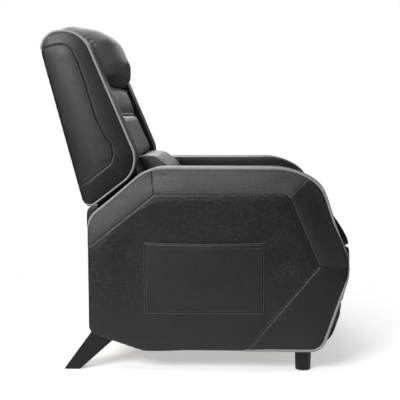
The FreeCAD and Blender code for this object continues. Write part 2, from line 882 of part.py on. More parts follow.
def make_bracket(side, sign):
    """The footrest's steel bracket: a plate in the outer layer and a flange behind the board."""
    start, length = across(sign, link_inner, link_outer)
    half = cell.link_half_width
    front = cell.board_back
    outline = [
        (footrest_pivot[0] + half, cell.bracket_bottom, None),
        (footrest_pivot[0] + half, footrest_pivot[1], None),
        (control_end[0] + half, cell.bracket_top, None),
        (control_end[0] - half, cell.bracket_top, None),
        (control_end[0] - half, control_end[1] - half, None),
        (front, footrest_pivot[1], None),
        (front, cell.bracket_bottom, None),
    ]
    body = plate(f"footrest_bracket_{side}", outline, start, length)
    flange_start, flange = across(sign, link_inner - cell.bracket_flange, link_inner)
    steel = cell.link_thickness
    lap = [
        (front + steel, cell.bracket_bottom, None),
        (front + steel, cell.bracket_flange_top, None),
        (front, cell.bracket_flange_top, None),
        (front, cell.bracket_bottom, None),
    ]
    pad(body, polygon_sketch(body, f"bracket_flange_{side}", lap, flange_start), flange)
    head_start = reach_inner - cell.link_gap / 3
    stud(body, f"footrest_stud_{side}", sign, footrest_pivot, link_inner, head_start)
    stud(body, f"control_stud_{side}", sign, control_end, link_inner, head_start)
    keep(f"footrest_bracket_{side}", body)


def make_linkage(side, sign):
    outer_link("swing_link", sign, side, swing_pivot, reach_pivot, [control_pivot])
    outer_link("guide_link", sign, side, guide_pivot, guide_end, [])
    inner_link("reach_link", sign, side, guide_end, footrest_pivot, [guide_end, reach_pivot, footrest_pivot])
    inner_link("control_link", sign, side, control_pivot, control_end, [control_pivot, control_end])
    make_bracket(side, sign)


def make_torque_tube():
    """The tube that makes both swing links turn together."""
    y, z = along_swing(cell.torque_tube_reach)
    tube = rod("footrest_torque_tube", (-link_inner, y, z), cell.torque_tube_radius, link_inner * 2)
    keep("footrest_torque_tube", tube)


# ---------------------------------------------------------------- footrest


def make_footrest():
    board_reach = reach_inner - cell.link_gap / 3 - cell.stud_head - cell.running_gap * 10
    front = cell.board_back - cell.board
    low = (-board_reach, front, cell.board_bottom)
    span = (board_reach * 2, cell.board, cell.board_top - cell.board_bottom)
    keep("footrest_board", box("footrest_board", low, span))
    soft = cell.cushion_round
    reach = arm_inner - cell.footrest_side_gap
    face = front - cell.upper_pad_depth
    upper = [
        (front, cell.upper_pad_bottom, None),
        (front, cell.upper_pad_top, soft * 1.2),
        (face, cell.upper_pad_top, soft),
        (face, cell.upper_pad_bottom + soft / 2, None),
        (face + soft / 2, cell.upper_pad_bottom, None),
    ]
    keep("footrest_upper_pad", plate("footrest_upper_pad", upper, -reach, reach * 2))
    face = front - cell.lower_pad_depth
    top = cell.upper_pad_bottom - cell.pad_seam
    lower = [
        (front, cell.lower_pad_bottom, None),
        (front, top, None),
        (face, top, None),
        (face + soft / 2, (top + cell.lower_pad_bottom) / 2, None),
        (front - soft * 1.5, cell.lower_pad_bottom, None),
    ]
    keep("footrest_lower_pad", plate("footrest_lower_pad", lower, -reach, reach * 2))


# ---------------------------------------------------------------- backrest


def make_back_frame():
    bottom = back_bottom
    top = cell.back_top
    inner = stile_outer - cell.stile_width
    outline = [
        (frame_rear(bottom), bottom, None),
        (frame_rear(top), top, None),
        (frame_front(top), top, None),
        (frame_front(bottom), bottom, None),
    ]
    for side, sign in SIDES:
        start, length = across(sign, inner, stile_outer)
        keep(f"back_stile_{side}", plate(f"back_stile_{side}", outline, start, length))
    for name, low, high in (
        ("back_top_rail", top - cell.back_rail, top),
        ("back_lower_rail", bottom, bottom + cell.back_rail),
    ):
        rail = [
            (frame_rear(low), low, None),
            (frame_rear(high), high, None),
            (frame_front(high), high, None),
            (frame_front(low), low, None),
        ]
        keep(name, plate(name, rail, -inner, inner * 2))


def make_hinge_arm(side, sign):
    """A steel strap from the pivot up the outside of the stile."""
    start, length = across(sign, stile_outer, stile_outer + cell.hinge_arm)
    half = cell.hinge_arm_half_width
    top = cell.hinge_arm_top
    upper = (frame_front(top) + half, top)
    body = strip(f"back_hinge_arm_{side}", pivot, upper, half, start, length)
    bore(body, f"hinge_bore_{side}", pivot, cell.pivot_radius + cell.running_gap, start, length)
    keep(f"back_hinge_arm_{side}", body)


def make_back_webbing():
    """Straps across the stiles, each flat against their sloping front faces."""
    count = 5
    lean = -math.degrees(math.atan(cell.back_rear_slope.number))
    pitch = (cell.back_top - back_bottom - cell.webbing_width * 1.6) / (count - 1)
    straps = []
    thin = cell.back_webbing / 2
    for i in range(count):
        z = back_bottom + cell.webbing_width * 0.3 + pitch * i
        low = (-stile_outer, frame_front(z) - cell.back_webbing + thin / 2, z)
        straps.append(box(f"back_strap_{i + 1}", low, (stile_outer * 2, thin, cell.webbing_width), turn=lean))
    keep("back_webbing", group("back_webbing", straps))


def make_back_pads():
    """The front pads, bottom to top; the headrest wraps over the top of the frame."""
    seam = cell.pad_seam
    reach = back_half_width
    floor = cell.pivot_z + cell.roll_radius + seam
    for name, low, high in (
        ("lower_back_pad", floor, cell.main_pad_bottom - seam),
        ("main_back_pad", cell.main_pad_bottom, cell.upper_pad_line - seam),
        ("upper_back_pad", cell.upper_pad_line, cell.headrest_line - seam),
    ):
        outline = [
            (pad_rear(low), low, None),
            (pad_rear(high), high, None),
            (back_front(high), high, None),
            (back_front(low), low, None),
        ]
        keep(name, plate(name, outline, -reach, reach * 2))
    low = cell.headrest_line
    top = cell.back_top
    crown = cell.headrest_top - top
    rear = back_rear(top) - cell.rear_cover_inset
    headrest = [
        (pad_rear(low), low, None),
        (pad_rear(top), top, None),
        (rear, top, None),
        (rear - crown * 0.5, cell.headrest_top - crown * 0.2, None),
        (rear - crown * 1.3, cell.headrest_top, None),
        (cell.headrest_front + crown * 2.2, cell.headrest_top - crown * 0.4, None),
        (cell.headrest_front + crown, cell.headrest_top - crown * 1.2, None),
        (cell.headrest_front + seam, cell.headrest_front_z + crown, None),
        (cell.headrest_front, cell.headrest_front_z, None),
        (cell.headrest_front + crown * 0.7, low, None),
    ]
    keep("headrest_pad", plate("headrest_pad", headrest, -reach, reach * 2))


def make_back_covers():
    bottom = cell.pivot_z + cell.roll_radius + cell.pad_seam
    top = cell.back_top
    inset_rear = cell.rear_cover_inset
    outline = [
        (back_rear(bottom) - inset_rear, bottom, None),
        (back_rear(top) - inset_rear, top, None),
        (frame_rear(top), top, None),
        (frame_rear(bottom), bottom, None),
    ]
    reach = back_half_width
    keep("back_rear_cover", plate("back_rear_cover", outline, -reach, reach * 2))
    roll_reach = stile_outer - cell.pad_seam * 3
    fore, aft = cell.pivot_y - cell.roll_radius, cell.pivot_y + cell.roll_radius
    under, over = cell.pivot_z - cell.roll_radius, cell.pivot_z + cell.roll_radius
    full_round = cell.roll_radius - cell.roll_flat
    roll = [
        (fore, under, full_round),
        (fore, over, full_round),
        (aft, over, cell.roll_rear_round),
        (aft, under, full_round),
    ]
    keep("lower_back_roll", plate("lower_back_roll", roll, -roll_reach, roll_reach * 2))


def make_wing(side, sign):
    outline = [
        (cell.wing_heel_y, cell.wing_heel_z, cell.wing_heel_round),
        (cell.wing_rear_y, cell.wing_rear_z, cell.wing_rear_round),
        (cell.wing_front_y, cell.wing_front_z, cell.wing_front_round),
        (cell.wing_elbow_y, cell.wing_elbow_z, cell.wing_elbow_round),
    ]
    inner = back_half_width
    start, length = across(sign, inner, inner + cell.wing_width)
    keep(f"wing_{side}", plate(f"wing_{side}", outline, start, length))


def make_pillow():
    """The lumbar pillow, its rear face along the slope of the back pads."""
    low = cell.pillow_bottom
    high = cell.pillow_top
    gap = cell.pillow_gap
    depth = cell.pillow_depth
    soft = cell.cushion_round
    outline = [
        (back_front(low) - gap, low, soft / 2),
        (back_front(high) - gap, high, soft / 2),
        (back_front(high) - gap - depth * 0.65, high, soft),
        (back_front(high) - gap - depth * 1.2, high - soft * 2, soft),
        (back_front(low) - gap - depth, low + soft, soft / 2),
        (back_front(low) - gap - depth * 0.8, low, soft / 2),
    ]
    reach = cell.pillow_half_width
    keep("lumbar_pillow", plate("lumbar_pillow", outline, -reach, reach * 2))


# ---------------------------------------------------------------- the whole chair


def make_all():
    for side, sign in SIDES:
        make_arm(side, sign)
        make_pocket(side, sign)
        make_legs(side, sign)
        make_mechanism_plate(side, sign)
        make_linkage(side, sign)
        make_hinge_arm(side, sign)
        make_wing(side, sign)
    make_leg_bolts()
    make_base()
    make_pivot_pins()
    make_slide_channels()
    make_seat_frame()
    make_seat_webbing()
    make_seat_cushion()
    make_slide_rollers()
    make_torque_tube()
    make_footrest()
    make_back_frame()
    make_back_webbing()
    make_back_pads()
    make_back_covers()
    make_pillow()
    doc.recompute()


def check_all():
    for thing in doc.Objects:
        if "Invalid" in thing.State or "Error" in thing.State:
            raise RuntimeError(f"{thing.Name} failed to build: {thing.State}")
    for node, thing in nodes.items():
        if thing.Shape.isNull() or not thing.Shape.isValid() or not thing.Shape.Solids:
            raise RuntimeError(f"{node} has no valid solid")


def write_all():
    os.makedirs("parts", exist_ok=True)
    for node, thing in nodes.items():
        thing.Shape.exportStep(f"parts/{node}.step")


make_all()
check_all()
write_all()
print(f"{len(nodes)} sub-parts written")
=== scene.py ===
import math

import bmesh
import bpy
import numpy as np
from mathutils import Matrix, Vector
from mathutils.bvhtree import BVHTree
from mathutils.geometry import convex_hull_2d


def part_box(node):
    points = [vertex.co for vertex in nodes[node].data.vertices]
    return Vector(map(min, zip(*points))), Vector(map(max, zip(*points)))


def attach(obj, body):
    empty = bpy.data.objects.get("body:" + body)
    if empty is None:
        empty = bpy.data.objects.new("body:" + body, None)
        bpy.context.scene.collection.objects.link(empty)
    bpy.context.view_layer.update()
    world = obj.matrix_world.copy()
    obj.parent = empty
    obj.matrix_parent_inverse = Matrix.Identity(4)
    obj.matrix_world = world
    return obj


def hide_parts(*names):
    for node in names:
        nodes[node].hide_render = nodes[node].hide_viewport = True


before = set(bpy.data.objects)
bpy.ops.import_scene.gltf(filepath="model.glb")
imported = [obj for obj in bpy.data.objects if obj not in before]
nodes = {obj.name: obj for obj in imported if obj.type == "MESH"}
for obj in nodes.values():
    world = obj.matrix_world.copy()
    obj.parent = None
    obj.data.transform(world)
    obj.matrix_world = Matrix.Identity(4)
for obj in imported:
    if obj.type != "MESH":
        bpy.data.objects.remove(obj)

# A reclining armchair. Metres, the chair faces -Y, +X is the sitter's left.
# Padded covers are blown up round copies of the frame's soft solids, then sewn:
# grooves, piping and stitches are laid on them afterwards.

scene = bpy.context.scene
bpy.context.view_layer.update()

# The back leans: this is up along it, and this is out of its front face.
BACK_UP = np.array((0.0, 0.3617, 0.9323))
BACK_OUT = np.array((0.0, -0.9323, 0.3617))

# Seams drawn on the outer face of an arm, as (Y, Z).
ARM_SEAM = [(0.319, 0.379), (0.129, 0.531), (-0.240, 0.534), (-0.258, 0.531),
            (-0.269, 0.518), (-0.355, 0.322), (-0.148, 0.072)]
ARM_CROSS = [[(0.129, 0.531), (0.136, 0.600)],
             [(-0.264, 0.526), (-0.322, 0.581)],
             [(-0.355, 0.322), (-0.440, 0.324)]]
ARM_PANEL = ARM_SEAM + [(-0.148, 0.0), (0.40, 0.0), (0.40, 0.379)]

# The seam that runs round the outer face of a wing.
WING_SEAM = [(0.459, 0.958), (0.431, 0.965), (0.407, 0.969), (0.386, 0.966), (0.372, 0.953),
             (0.355, 0.918), (0.332, 0.851), (0.304, 0.754), (0.275, 0.696), (0.258, 0.672),
             (0.254, 0.645), (0.263, 0.620), (0.294, 0.595), (0.360, 0.550)]

PIPING_RADIUS = 0.0042
WING_PIPING_RADIUS = 0.0038
DARK_PIPING_RADIUS = 0.0030
STITCH_PITCH = 0.0058
# How far out the arm's cover may reach behind its pocket, how much the wings are crowned, and how
# far ahead of the frame's wings their covers are.
POCKET_BACK = 0.3908
WING_CROWN = 0.016
WING_AHEAD = np.array((0.0, -0.0030, 0.0))


# ---------------------------------------------------------------- finishes

def start_finish(name):
    """A new node material: its tree, its shader and the point's own place."""
    material = bpy.data.materials.new(name)
    material.use_nodes = True
    tree = material.node_tree
    tree.nodes.clear()
    output = tree.nodes.new("ShaderNodeOutputMaterial")
    shader = tree.nodes.new("ShaderNodeBsdfPrincipled")
    tree.links.new(shader.outputs["BSDF"], output.inputs["Surface"])
    place = tree.nodes.new("ShaderNodeTexCoord").outputs["Object"]
    return material, tree, shader, place


def node(tree, kind, inputs, out=0, **settings):
    """Adds one node, sets or links its inputs, and gives back one of its outputs."""
    made = tree.nodes.new("ShaderNode" + kind)
    for key, value in settings.items():
        setattr(made, key, value)
    for socket, value in inputs.items():
        if isinstance(value, bpy.types.NodeSocket):
            tree.links.new(value, made.inputs[socket])
        else:
            made.inputs[socket].default_value = value
    return made.outputs[out]


def noise(tree, place, scale, detail=3.0, rough=0.5, twist=0.0):
    wanted = {"Vector": place, "Scale": scale, "Detail": detail, "Roughness": rough,
              "Distortion": twist}
    return node(tree, "TexNoise", wanted)


def remap(tree, value, low, high, start=0.0, end=1.0):
    wanted = {"Value": value, "From Min": start, "From Max": end, "To Min": low, "To Max": high}
    return node(tree, "MapRange", wanted)


def times(tree, a, b):
    return node(tree, "Math", {0: a, 1: b}, operation="MULTIPLY")


def plus(tree, a, b):
    return node(tree, "Math", {0: a, 1: b}, operation="ADD")


def mixed(tree, share, dark, light):
    return node(tree, "Mix", {0: share, 6: dark, 7: light}, out=2, data_type="RGBA")


def wave_along(tree, place, direction, pitch):
    """A sine from -1 to 1 that repeats each pitch along a direction."""
    turns = 2 * math.pi / pitch
    stretched = tuple(turns * part for part in Vector(direction).normalized())
    along = node(tree, "VectorMath", {0: place, 1: stretched}, out="Value",
                 operation="DOT_PRODUCT")
    return node(tree, "Math", {0: along}, operation="SINE")


def stretched_place(tree, place, scale):
    return node(tree, "Mapping", {"Vector": place, "Scale": scale})


def set_shader(tree, shader, colour, rough, height=None, depth=0.0003, **constants):
    """Links colour, roughness and bump, and sets the rest on the shader itself."""
    tree.links.new(colour, shader.inputs["Base Color"])
    tree.links.new(rough, shader.inputs["Roughness"])
    if height is not None:
        bump = node(tree, "Bump", {"Height": height, "Distance": depth, "Strength": 1.0})
        tree.links.new(bump, shader.inputs["Normal"])
    for key, value in constants.items():
        shader.inputs[key.replace("_", " ")].default_value = value


def grey(level, blue=1.04):
    return (level, level, level * blue, 1.0)


def leather(name, dark, light, rough=0.40, grain=430.0, depth=0.00032, press=None, pitch=0.005,
            press_share=0.5, sheen=0.02, specular=0.34):
    """Coated leather: pebbled grain, pores, faint creases, and a tone and gloss that vary.
    press is None, or the directions in which rolled-in ribs or dots repeat."""
    material, tree, shader, place = start_finish(name)
    bent = noise(tree, place, 60.0, 2.0)
    wander = node(tree, "VectorMath", {0: place, 1: bent}, operation="ADD")
    pebbles = node(tree, "TexVoronoi", {"Vector": place, "Scale": grain, "Randomness": 0.85},
                   feature="DISTANCE_TO_EDGE")
    pebbles = remap(tree, pebbles, 0.0, 1.0, 0.0, 0.32)
    pores = noise(tree, place, grain * 2.6, 2.0)
    creases = noise(tree, wander, 24.0, 5.0, 0.62, 0.8)
    creases = remap(tree, creases, 0.0, 1.0, 0.34, 0.66)
    broad = noise(tree, place, 5.5, 2.0)
    height = plus(tree, times(tree, pebbles, 0.42), times(tree, pores, 0.20))
    height = plus(tree, height, times(tree, creases, 0.55))
    tone = plus(tree, times(tree, broad, 0.45), times(tree, creases, 0.25))
    tone = plus(tree, tone, times(tree, pebbles, 0.30))
    if press:
        pressed = None
        for direction in press:
            rib = remap(tree, wave_along(tree, place, direction, pitch), 0.0, 1.0, -1.0, 1.0)
            pressed = rib if pressed is None else times(tree, pressed, rib)
        height = plus(tree, height, times(tree, pressed, 1.5 * press_share))
        tone = plus(tree, times(tree, tone, 0.7), times(tree, pressed, 0.45 * press_share))
    colour = mixed(tree, tone, grey(dark), grey(light))
    gloss = remap(tree, plus(tree, times(tree, broad, 0.6), times(tree, pores, 0.4)),
                  rough - 0.07, rough + 0.09)
    set_shader(tree, shader, colour, gloss, height, depth, Sheen_Weight=sheen,
               Sheen_Roughness=0.45, Specular_IOR_Level=specular)
    return material


def moulded_plastic(name, dark, light, rough):
    """Moulded plastic: spark-eroded texture, and scuffs that grow towards the floor."""
    material, tree, shader, place = start_finish(name)
    spark = noise(tree, place, 900.0, 3.0)
    broad = noise(tree, place, 14.0, 3.0)
    height_up = node(tree, "SeparateXYZ", {0: place}, out="Z")
    low_down = remap(tree, height_up, 1.0, 0.0, 0.0, 0.045)
    scuffs = noise(tree, stretched_place(tree, place, (160.0, 160.0, 22.0)), 1.0, 4.0, 0.7)
    scuffs = times(tree, remap(tree, scuffs, 0.0, 1.0, 0.55, 0.75), low_down)
    tone = plus(tree, times(tree, broad, 0.5), times(tree, scuffs, 0.8))
    colour = mixed(tree, tone, grey(dark), grey(light))
    gloss = remap(tree, plus(tree, times(tree, spark, 0.5), scuffs), rough - 0.06, rough + 0.14)
    set_shader(tree, shader, colour, gloss, spark, 0.00015, Specular_IOR_Level=0.22)
    return material


def coated_steel(name, dark, light, rough, metallic):
    """Sheet steel with its coat: orange peel, faint drawing lines and rubbed spots."""
    material, tree, shader, place = start_finish(name)
    peel = noise(tree, place, 620.0, 3.0)
    lines = noise(tree, stretched_place(tree, place, (60.0, 900.0, 60.0)), 1.0, 3.0)
    rubbed = remap(tree, noise(tree, place, 45.0, 5.0, 0.6), 0.0, 1.0, 0.52, 0.70)
    tone = plus(tree, times(tree, rubbed, 0.55), times(tree, lines, 0.35))
    colour = mixed(tree, tone, grey(dark), grey(light))
    gloss = remap(tree, plus(tree, times(tree, peel, 0.6), times(tree, rubbed, 0.4)),
                  rough - 0.08, rough + 0.12)
    height = plus(tree, peel, times(tree, lines, 0.4))
    set_shader(tree, shader, colour, gloss, height, 0.00012, Metallic=metallic)
    return material


def sawn_timber():
    """Sawn poplar: rings stretched along the board, fibres and a few darker knots."""
    material, tree, shader, place = start_finish("sawn_timber")
    board = stretched_place(tree, place, (9.0, 2.0, 14.0))
    rings = node(tree, "TexWave", {"Vector": board, "Scale": 1.6, "Distortion": 6.0,
                                   "Detail": 3.0, "Detail Scale": 1.4})
    fibres = noise(tree, stretched_place(tree, place, (420.0, 60.0, 420.0)), 1.0, 4.0)
    blotch = noise(tree, place, 7.0, 3.0)
    tone = plus(tree, times(tree, rings, 0.45), times(tree, fibres, 0.35))
    tone = plus(tree, tone, times(tree, blotch, 0.25))
    colour = mixed(tree, tone, (0.30, 0.18, 0.09, 1.0), (0.62, 0.46, 0.28, 1.0))
    gloss = remap(tree, fibres, 0.62, 0.82)
    set_shader(tree, shader, colour, gloss, plus(tree, fibres, rings), 0.0004)
    return material


def woven(name, dark, light, pitch):
    """A plain weave: two crossed rows of yarn, with loose fibres over them."""
    material, tree, shader, place = start_finish(name)
    warp = remap(tree, wave_along(tree, place, (1.0, 0.0, 0.0), pitch), 0.0, 1.0, -1.0, 1.0)
    weft = remap(tree, wave_along(tree, place, (0.0, 1.0, 0.9), pitch), 0.0, 1.0, -1.0, 1.0)
    yarn = times(tree, warp, weft)
    fuzz = noise(tree, place, 1500.0, 3.0)
    tone = plus(tree, times(tree, yarn, 0.7), times(tree, fuzz, 0.4))
    colour = mixed(tree, tone, grey(dark), grey(light))
    gloss = remap(tree, fuzz, 0.78, 0.95)
    set_shader(tree, shader, colour, gloss, plus(tree, yarn, times(tree, fuzz, 0.4)), 0.0004,
               Sheen_Weight=0.2)
    return material


def twisted_thread(name, dark, light):
    """Sewing thread: plies that wind round, and a waxed gloss."""
    material, tree, shader, place = start_finish(name)
    plies = remap(tree, wave_along(tree, place, (1.0, 1.3, 1.1), 0.0009), 0.0, 1.0, -1.0, 1.0)
    fuzz = noise(tree, place, 2400.0, 2.0)
    tone = plus(tree, times(tree, plies, 0.6), times(tree, fuzz, 0.4))
    colour = mixed(tree, tone, grey(dark), grey(light))
    gloss = remap(tree, fuzz, 0.45, 0.65)
    set_shader(tree, shader, colour, gloss, plies, 0.0001, Sheen_Weight=0.1)
    return material


BLACK = leather("black_leather_grain", 0.0045, 0.0085, rough=0.37)
SOFT_BLACK = leather("black_leather_soft", 0.0045, 0.0085, rough=0.34, grain=380.0)
# The bands beyond the arm's seam: their dots and ribs are real, but their tones are painted light and
# shade. The dotted top band and the rear ribbed band are lighter, as if lit from above, and the front
# ribbed band is darker, as if in shade.
DOTTED_PAINTED_LIGHT = leather("embossed_leather_dots_painted_light", 0.022, 0.054, rough=0.42, pitch=0.0042,
                 press=[(0.0, 1.0, 0.0), (0.0, 0.0, 1.0)], press_share=0.55)
RIBBED_FRONT_PAINTED_SHADE = leather("embossed_leather_front_ribs", 0.006, 0.014, rough=0.45, pitch=0.0065,
                       press=[(0.0, 0.92, -0.39)], press_share=0.40)
RIBBED_REAR_PAINTED_LIGHT = leather("embossed_leather_rear_ribs", 0.014, 0.030, rough=0.45, pitch=0.0065,
                      press=[(0.0, 0.62, 0.78)], press_share=0.40)
BOXING = leather("boxing_leather", 0.040, 0.070, rough=0.44)
GREY = leather("grey_leather_grain", 0.135, 0.195, rough=0.42)
LIGHT_GREY = leather("light_grey_leather", 0.150, 0.205, rough=0.46)
PIPING = leather("piping_leather", 0.170, 0.230, rough=0.42, grain=700.0, depth=0.00018)
POCKET = leather("pocket_leather_grain", 0.0042, 0.0080, rough=0.44)
BINDING = leather("pocket_binding_leather", 0.022, 0.036, rough=0.45, grain=700.0, depth=0.00018)
THREAD = twisted_thread("grey_thread", 0.035, 0.075)
DARK_THREAD = twisted_thread("dark_thread", 0.020, 0.042)
FINISHES = {
    "black_leather": BLACK,
    "embossed_leather": DOTTED_PAINTED_LIGHT,
    "grey_leather": GREY,
    "pocket_leather": POCKET,
    "leg_plastic": moulded_plastic("leg_plastic_moulded", 0.004, 0.012, 0.42),
    "timber": sawn_timber(),
    "black_steel": coated_steel("black_steel_coat", 0.012, 0.040, 0.45, 0.0),
    "zinc_steel": coated_steel("zinc_steel_plate", 0.36, 0.62, 0.36, 1.0),
    "webbing": woven("webbing_weave", 0.018, 0.070, 0.0032),
    "dust_cloth": woven("dust_cloth_weave", 0.008, 0.024, 0.0016),
    "roller_plastic": moulded_plastic("roller_nylon", 0.55, 0.75, 0.40),
}


def dress_frame():
    """Gives each carried-over part of the frame the finish of its slot."""
    for part in nodes.values():
        name = part.data.materials[0].name.split(".")[0]
        part.data = part.data.copy()
        part.material_slots[0].link = "OBJECT"
        part.material_slots[0].material = FINISHES[name]


# ---------------------------------------------------------------- hand tools

def take(*objects):
    """Selects these objects alone, the first one active."""
    bpy.ops.object.select_all(action="DESELECT")
    for one in objects:
        one.select_set(True)
    bpy.context.view_layer.objects.active = objects[0]


def tidy_mesh(obj, merge=1e-5):
    """Merges doubles and turns all faces outwards."""
    take(obj)
    bpy.ops.object.mode_set(mode="EDIT")
    bpy.ops.mesh.select_all(action="SELECT")
    bpy.ops.mesh.remove_doubles(threshold=merge)
    bpy.ops.mesh.normals_make_consistent(inside=False)
    bpy.ops.object.mode_set(mode="OBJECT")
    return obj


def copy_part(name, part):
    """A merged copy of one of the frame's solids, as a free object."""
    made = bpy.data.objects.new(name, nodes[part].data.copy())
    scene.collection.objects.link(made)
    made.data.materials.clear()
    return tidy_mesh(made)


def copy_shape(name, source):
    made = bpy.data.objects.new(name, source.data.copy())
    scene.collection.objects.link(made)
    return made


def other_side(source, name):
    """The same piece for the other side of the chair."""
    made = copy_shape(name, source)
    made.data.transform(Matrix.Scale(-1.0, 4, (1.0, 0.0, 0.0)))
    return tidy_mesh(made, 1e-7)


def apply_all(obj):
    take(obj)
    for modifier in list(obj.modifiers):
        bpy.ops.object.modifier_apply(modifier=modifier.name)


def points_of(obj):
    points = np.empty(len(obj.data.vertices) * 3)
    obj.data.vertices.foreach_get("co", points)
    return points.reshape(-1, 3)


def put_points(obj, points):
    obj.data.vertices.foreach_set("co", np.ascontiguousarray(points).ravel())
    obj.data.update()


def smooth(obj, turns, share=0.5):
    modifier = obj.modifiers.new("Relax", "SMOOTH")
    modifier.iterations = turns
    modifier.factor = share
    apply_all(obj)


def subdivide(obj):
    modifier = obj.modifiers.new("Fine", "SUBSURF")
    modifier.levels = 1
    modifier.render_levels = 1
    apply_all(obj)


def shade(obj):
    obj.data.polygons.foreach_set("use_smooth", [True] * len(obj.data.polygons))


def faces_of(obj):
    """The middle and the normal of every face."""
    count = len(obj.data.polygons)
    centres, normals = np.empty(count * 3), np.empty(count * 3)
    obj.data.polygons.foreach_get("center", centres)
    obj.data.polygons.foreach_get("normal", normals)
    return centres.reshape(-1, 3), normals.reshape(-1, 3)


def give_kinds(obj, kinds):
    """Gives each face the material of its number."""
    obj.data.polygons.foreach_set("material_index", kinds.astype(int))


def paint(obj, *materials):
    obj.data.materials.clear()
    for one in materials:
        obj.data.materials.append(one)


def step(value, start, end):
    """0 before start, 1 after end, smooth between them."""
    t = np.clip((value - start) / (end - start), 0.0, 1.0)
    return t * t * (3.0 - 2.0 * t)


def distance_to(lines, flat):
    """How far each flat point is from the nearest of these polylines."""
    best = np.full(len(flat), 9.0)
    for line in lines:
        for a, b in zip(line[:-1], line[1:]):
            a, b = np.array(a), np.array(b)
            d = b - a
            if d @ d < 1e-12:
                continue
            t = np.clip(((flat - a) @ d) / (d @ d), 0.0, 1.0)
            best = np.minimum(best, np.linalg.norm(flat - (a + t[:, None] * d), axis=1))
    return best


def inside(polygon, flat):
    """Which flat points lie inside a polygon."""
    found = np.zeros(len(flat), bool)
    y, z = flat[:, 0], flat[:, 1]
    for (ay, az), (by, bz) in zip(polygon, polygon[1:] + polygon[:1]):
        if az == bz:
            continue
        crossing = (az > z) != (bz > z)
        found ^= crossing & (y < (by - ay) * (z - az) / (bz - az) + ay)
    return found


def spaced(line, pitch):
    """The same polyline with points a pitch apart."""
    line = np.array(line, float)
    lengths = np.r_[0.0, np.cumsum(np.linalg.norm(np.diff(line, axis=0), axis=1))]
    count = max(2, int(round(lengths[-1] / pitch)) + 1)
    wanted = np.linspace(0.0, lengths[-1], count)
    return np.stack([np.interp(wanted, lengths, line[:, k]) for k in range(line.shape[1])], 1)


def outline_of(part):
    """The side outline of a solid, as a closed loop of (Y, Z)."""
    flat = [Vector((v.co.y, v.co.z)) for v in nodes[part].data.vertices]
    loop = [tuple(flat[k]) for k in convex_hull_2d(flat)]
    loop.append(loop[0])
    return loop


def drawn_in(loop, amount):
    """A closed convex loop made smaller by an amount all round."""
    loop = np.array(loop)[:-1]
    centre = loop.mean(0)
    after, before = np.roll(loop, -1, 0), np.roll(loop, 1, 0)
    along = after - before
    across = np.stack([-along[:, 1], along[:, 0]], 1)
    across /= np.maximum(np.linalg.norm(across, axis=1), 1e-9)[:, None]
    across *= np.sign(((centre - loop) * across).sum(1))[:, None]
    made = loop + across * amount
    return np.vstack([made, made[:1]])


# ---------------------------------------------------------------- soft pieces

def blow_up(obj, held, pressure, cap, sideways=1.0, out=None):
    """Cloth under pressure with its sewn places held; no point moves further than the cap."""
    start = points_of(obj)
    group = obj.vertex_groups.new(name="sewn")
    group.add([int(k) for k in np.nonzero(held)[0]], 1.0, "REPLACE")
    scene.frame_set(1)
    cloth = obj.modifiers.new("Cloth", "CLOTH")
    cloth.settings.quality = 4
    cloth.settings.vertex_group_mass = "sewn"
    cloth.settings.use_pressure = True
    cloth.settings.uniform_pressure_force = pressure
    cloth.settings.effector_weights.gravity = 0.0
    cloth.point_cache.frame_start = 1
    cloth.point_cache.frame_end = 21
    for moment in range(1, 21):
        scene.frame_set(moment)
    apply_all(obj)
    scene.frame_set(1)
    obj.vertex_groups.clear()
    moved = points_of(obj) - start
    if out is not None:
        forward = moved @ out
        moved = (moved - forward[:, None] * out) * sideways + forward[:, None] * out
    length = np.linalg.norm(moved, axis=1)
    allowed = cap * np.tanh(length / cap)
    put_points(obj, start + moved * (allowed / np.maximum(length, 1e-9))[:, None])


def grow(obj, amount):
    """Moves the whole surface outwards by an amount, or inwards if it is negative."""
    obj.data.update()
    normals = np.empty(len(obj.data.vertices) * 3)
    obj.data.vertices.foreach_get("normal", normals)
    put_points(obj, points_of(obj) + normals.reshape(-1, 3) * amount)


def pad(obj, voxel, hold, cap, pressure=4.0, shape=None, relax=6, sideways=1.0, out=None,
        margin=0.0):
    """Remeshes a copied solid evenly, shapes it, blows it up and smooths it."""
    take(obj)
    obj.data.remesh_voxel_size = voxel
    bpy.ops.object.voxel_remesh()
    if shape:
        put_points(obj, shape(points_of(obj)))
    smooth(obj, relax)
    grow(obj, margin)
    blow_up(obj, hold(points_of(obj)), pressure, cap, sideways, out)
    smooth(obj, 2)
    subdivide(obj)
    shade(obj)
    return obj


def sink(obj, lines, side, half=0.0036, depth=0.0022):
    """Cuts a fine V into a side face along seams drawn on it as (Y, Z)."""
    work = bmesh.new()
    work.from_mesh(obj.data)
    work.normal_update()
    for line in lines:
        for (ay, az), (by, bz) in zip(line[:-1], line[1:]):
            start, end = Vector((0.0, ay, az)), Vector((0.0, by, bz))
            along = (end - start).normalized()
            across = Vector((0.0, -along.z, along.y))
            length = (end - start).length
            near = []
            for face in work.faces:
                if face.normal.x * side < 0.4:
                    continue
                spot = face.calc_center_median() - start
                if abs(spot.dot(across)) < half + 0.006 and -0.004 < spot.dot(along) < length + 0.004:
                    near.append(face)
            for offset in (-half, 0.0, half):
                parts = set(near)
                for face in near:
                    parts.update(face.edges)
                    parts.update(face.verts)
                cut = bmesh.ops.bisect_plane(work, geom=list(parts), dist=1e-5,
                                             plane_co=start + across * offset, plane_no=across)
                near = [g for g in cut["geom"] if isinstance(g, bmesh.types.BMFace)]
    work.normal_update()
    flat = np.array([(v.co.y, v.co.z) for v in work.verts])
    away = distance_to(lines, flat)
    for vertex, d in zip(work.verts, away):
        if d < half and vertex.normal.x * side > 0.3:
            vertex.co.x -= side * depth * (1.0 - d / half)
    work.to_mesh(obj.data)
    work.free()
    shade(obj)


def surface_of(obj):
    return BVHTree.FromObject(obj, bpy.context.evaluated_depsgraph_get())


STITCH = None


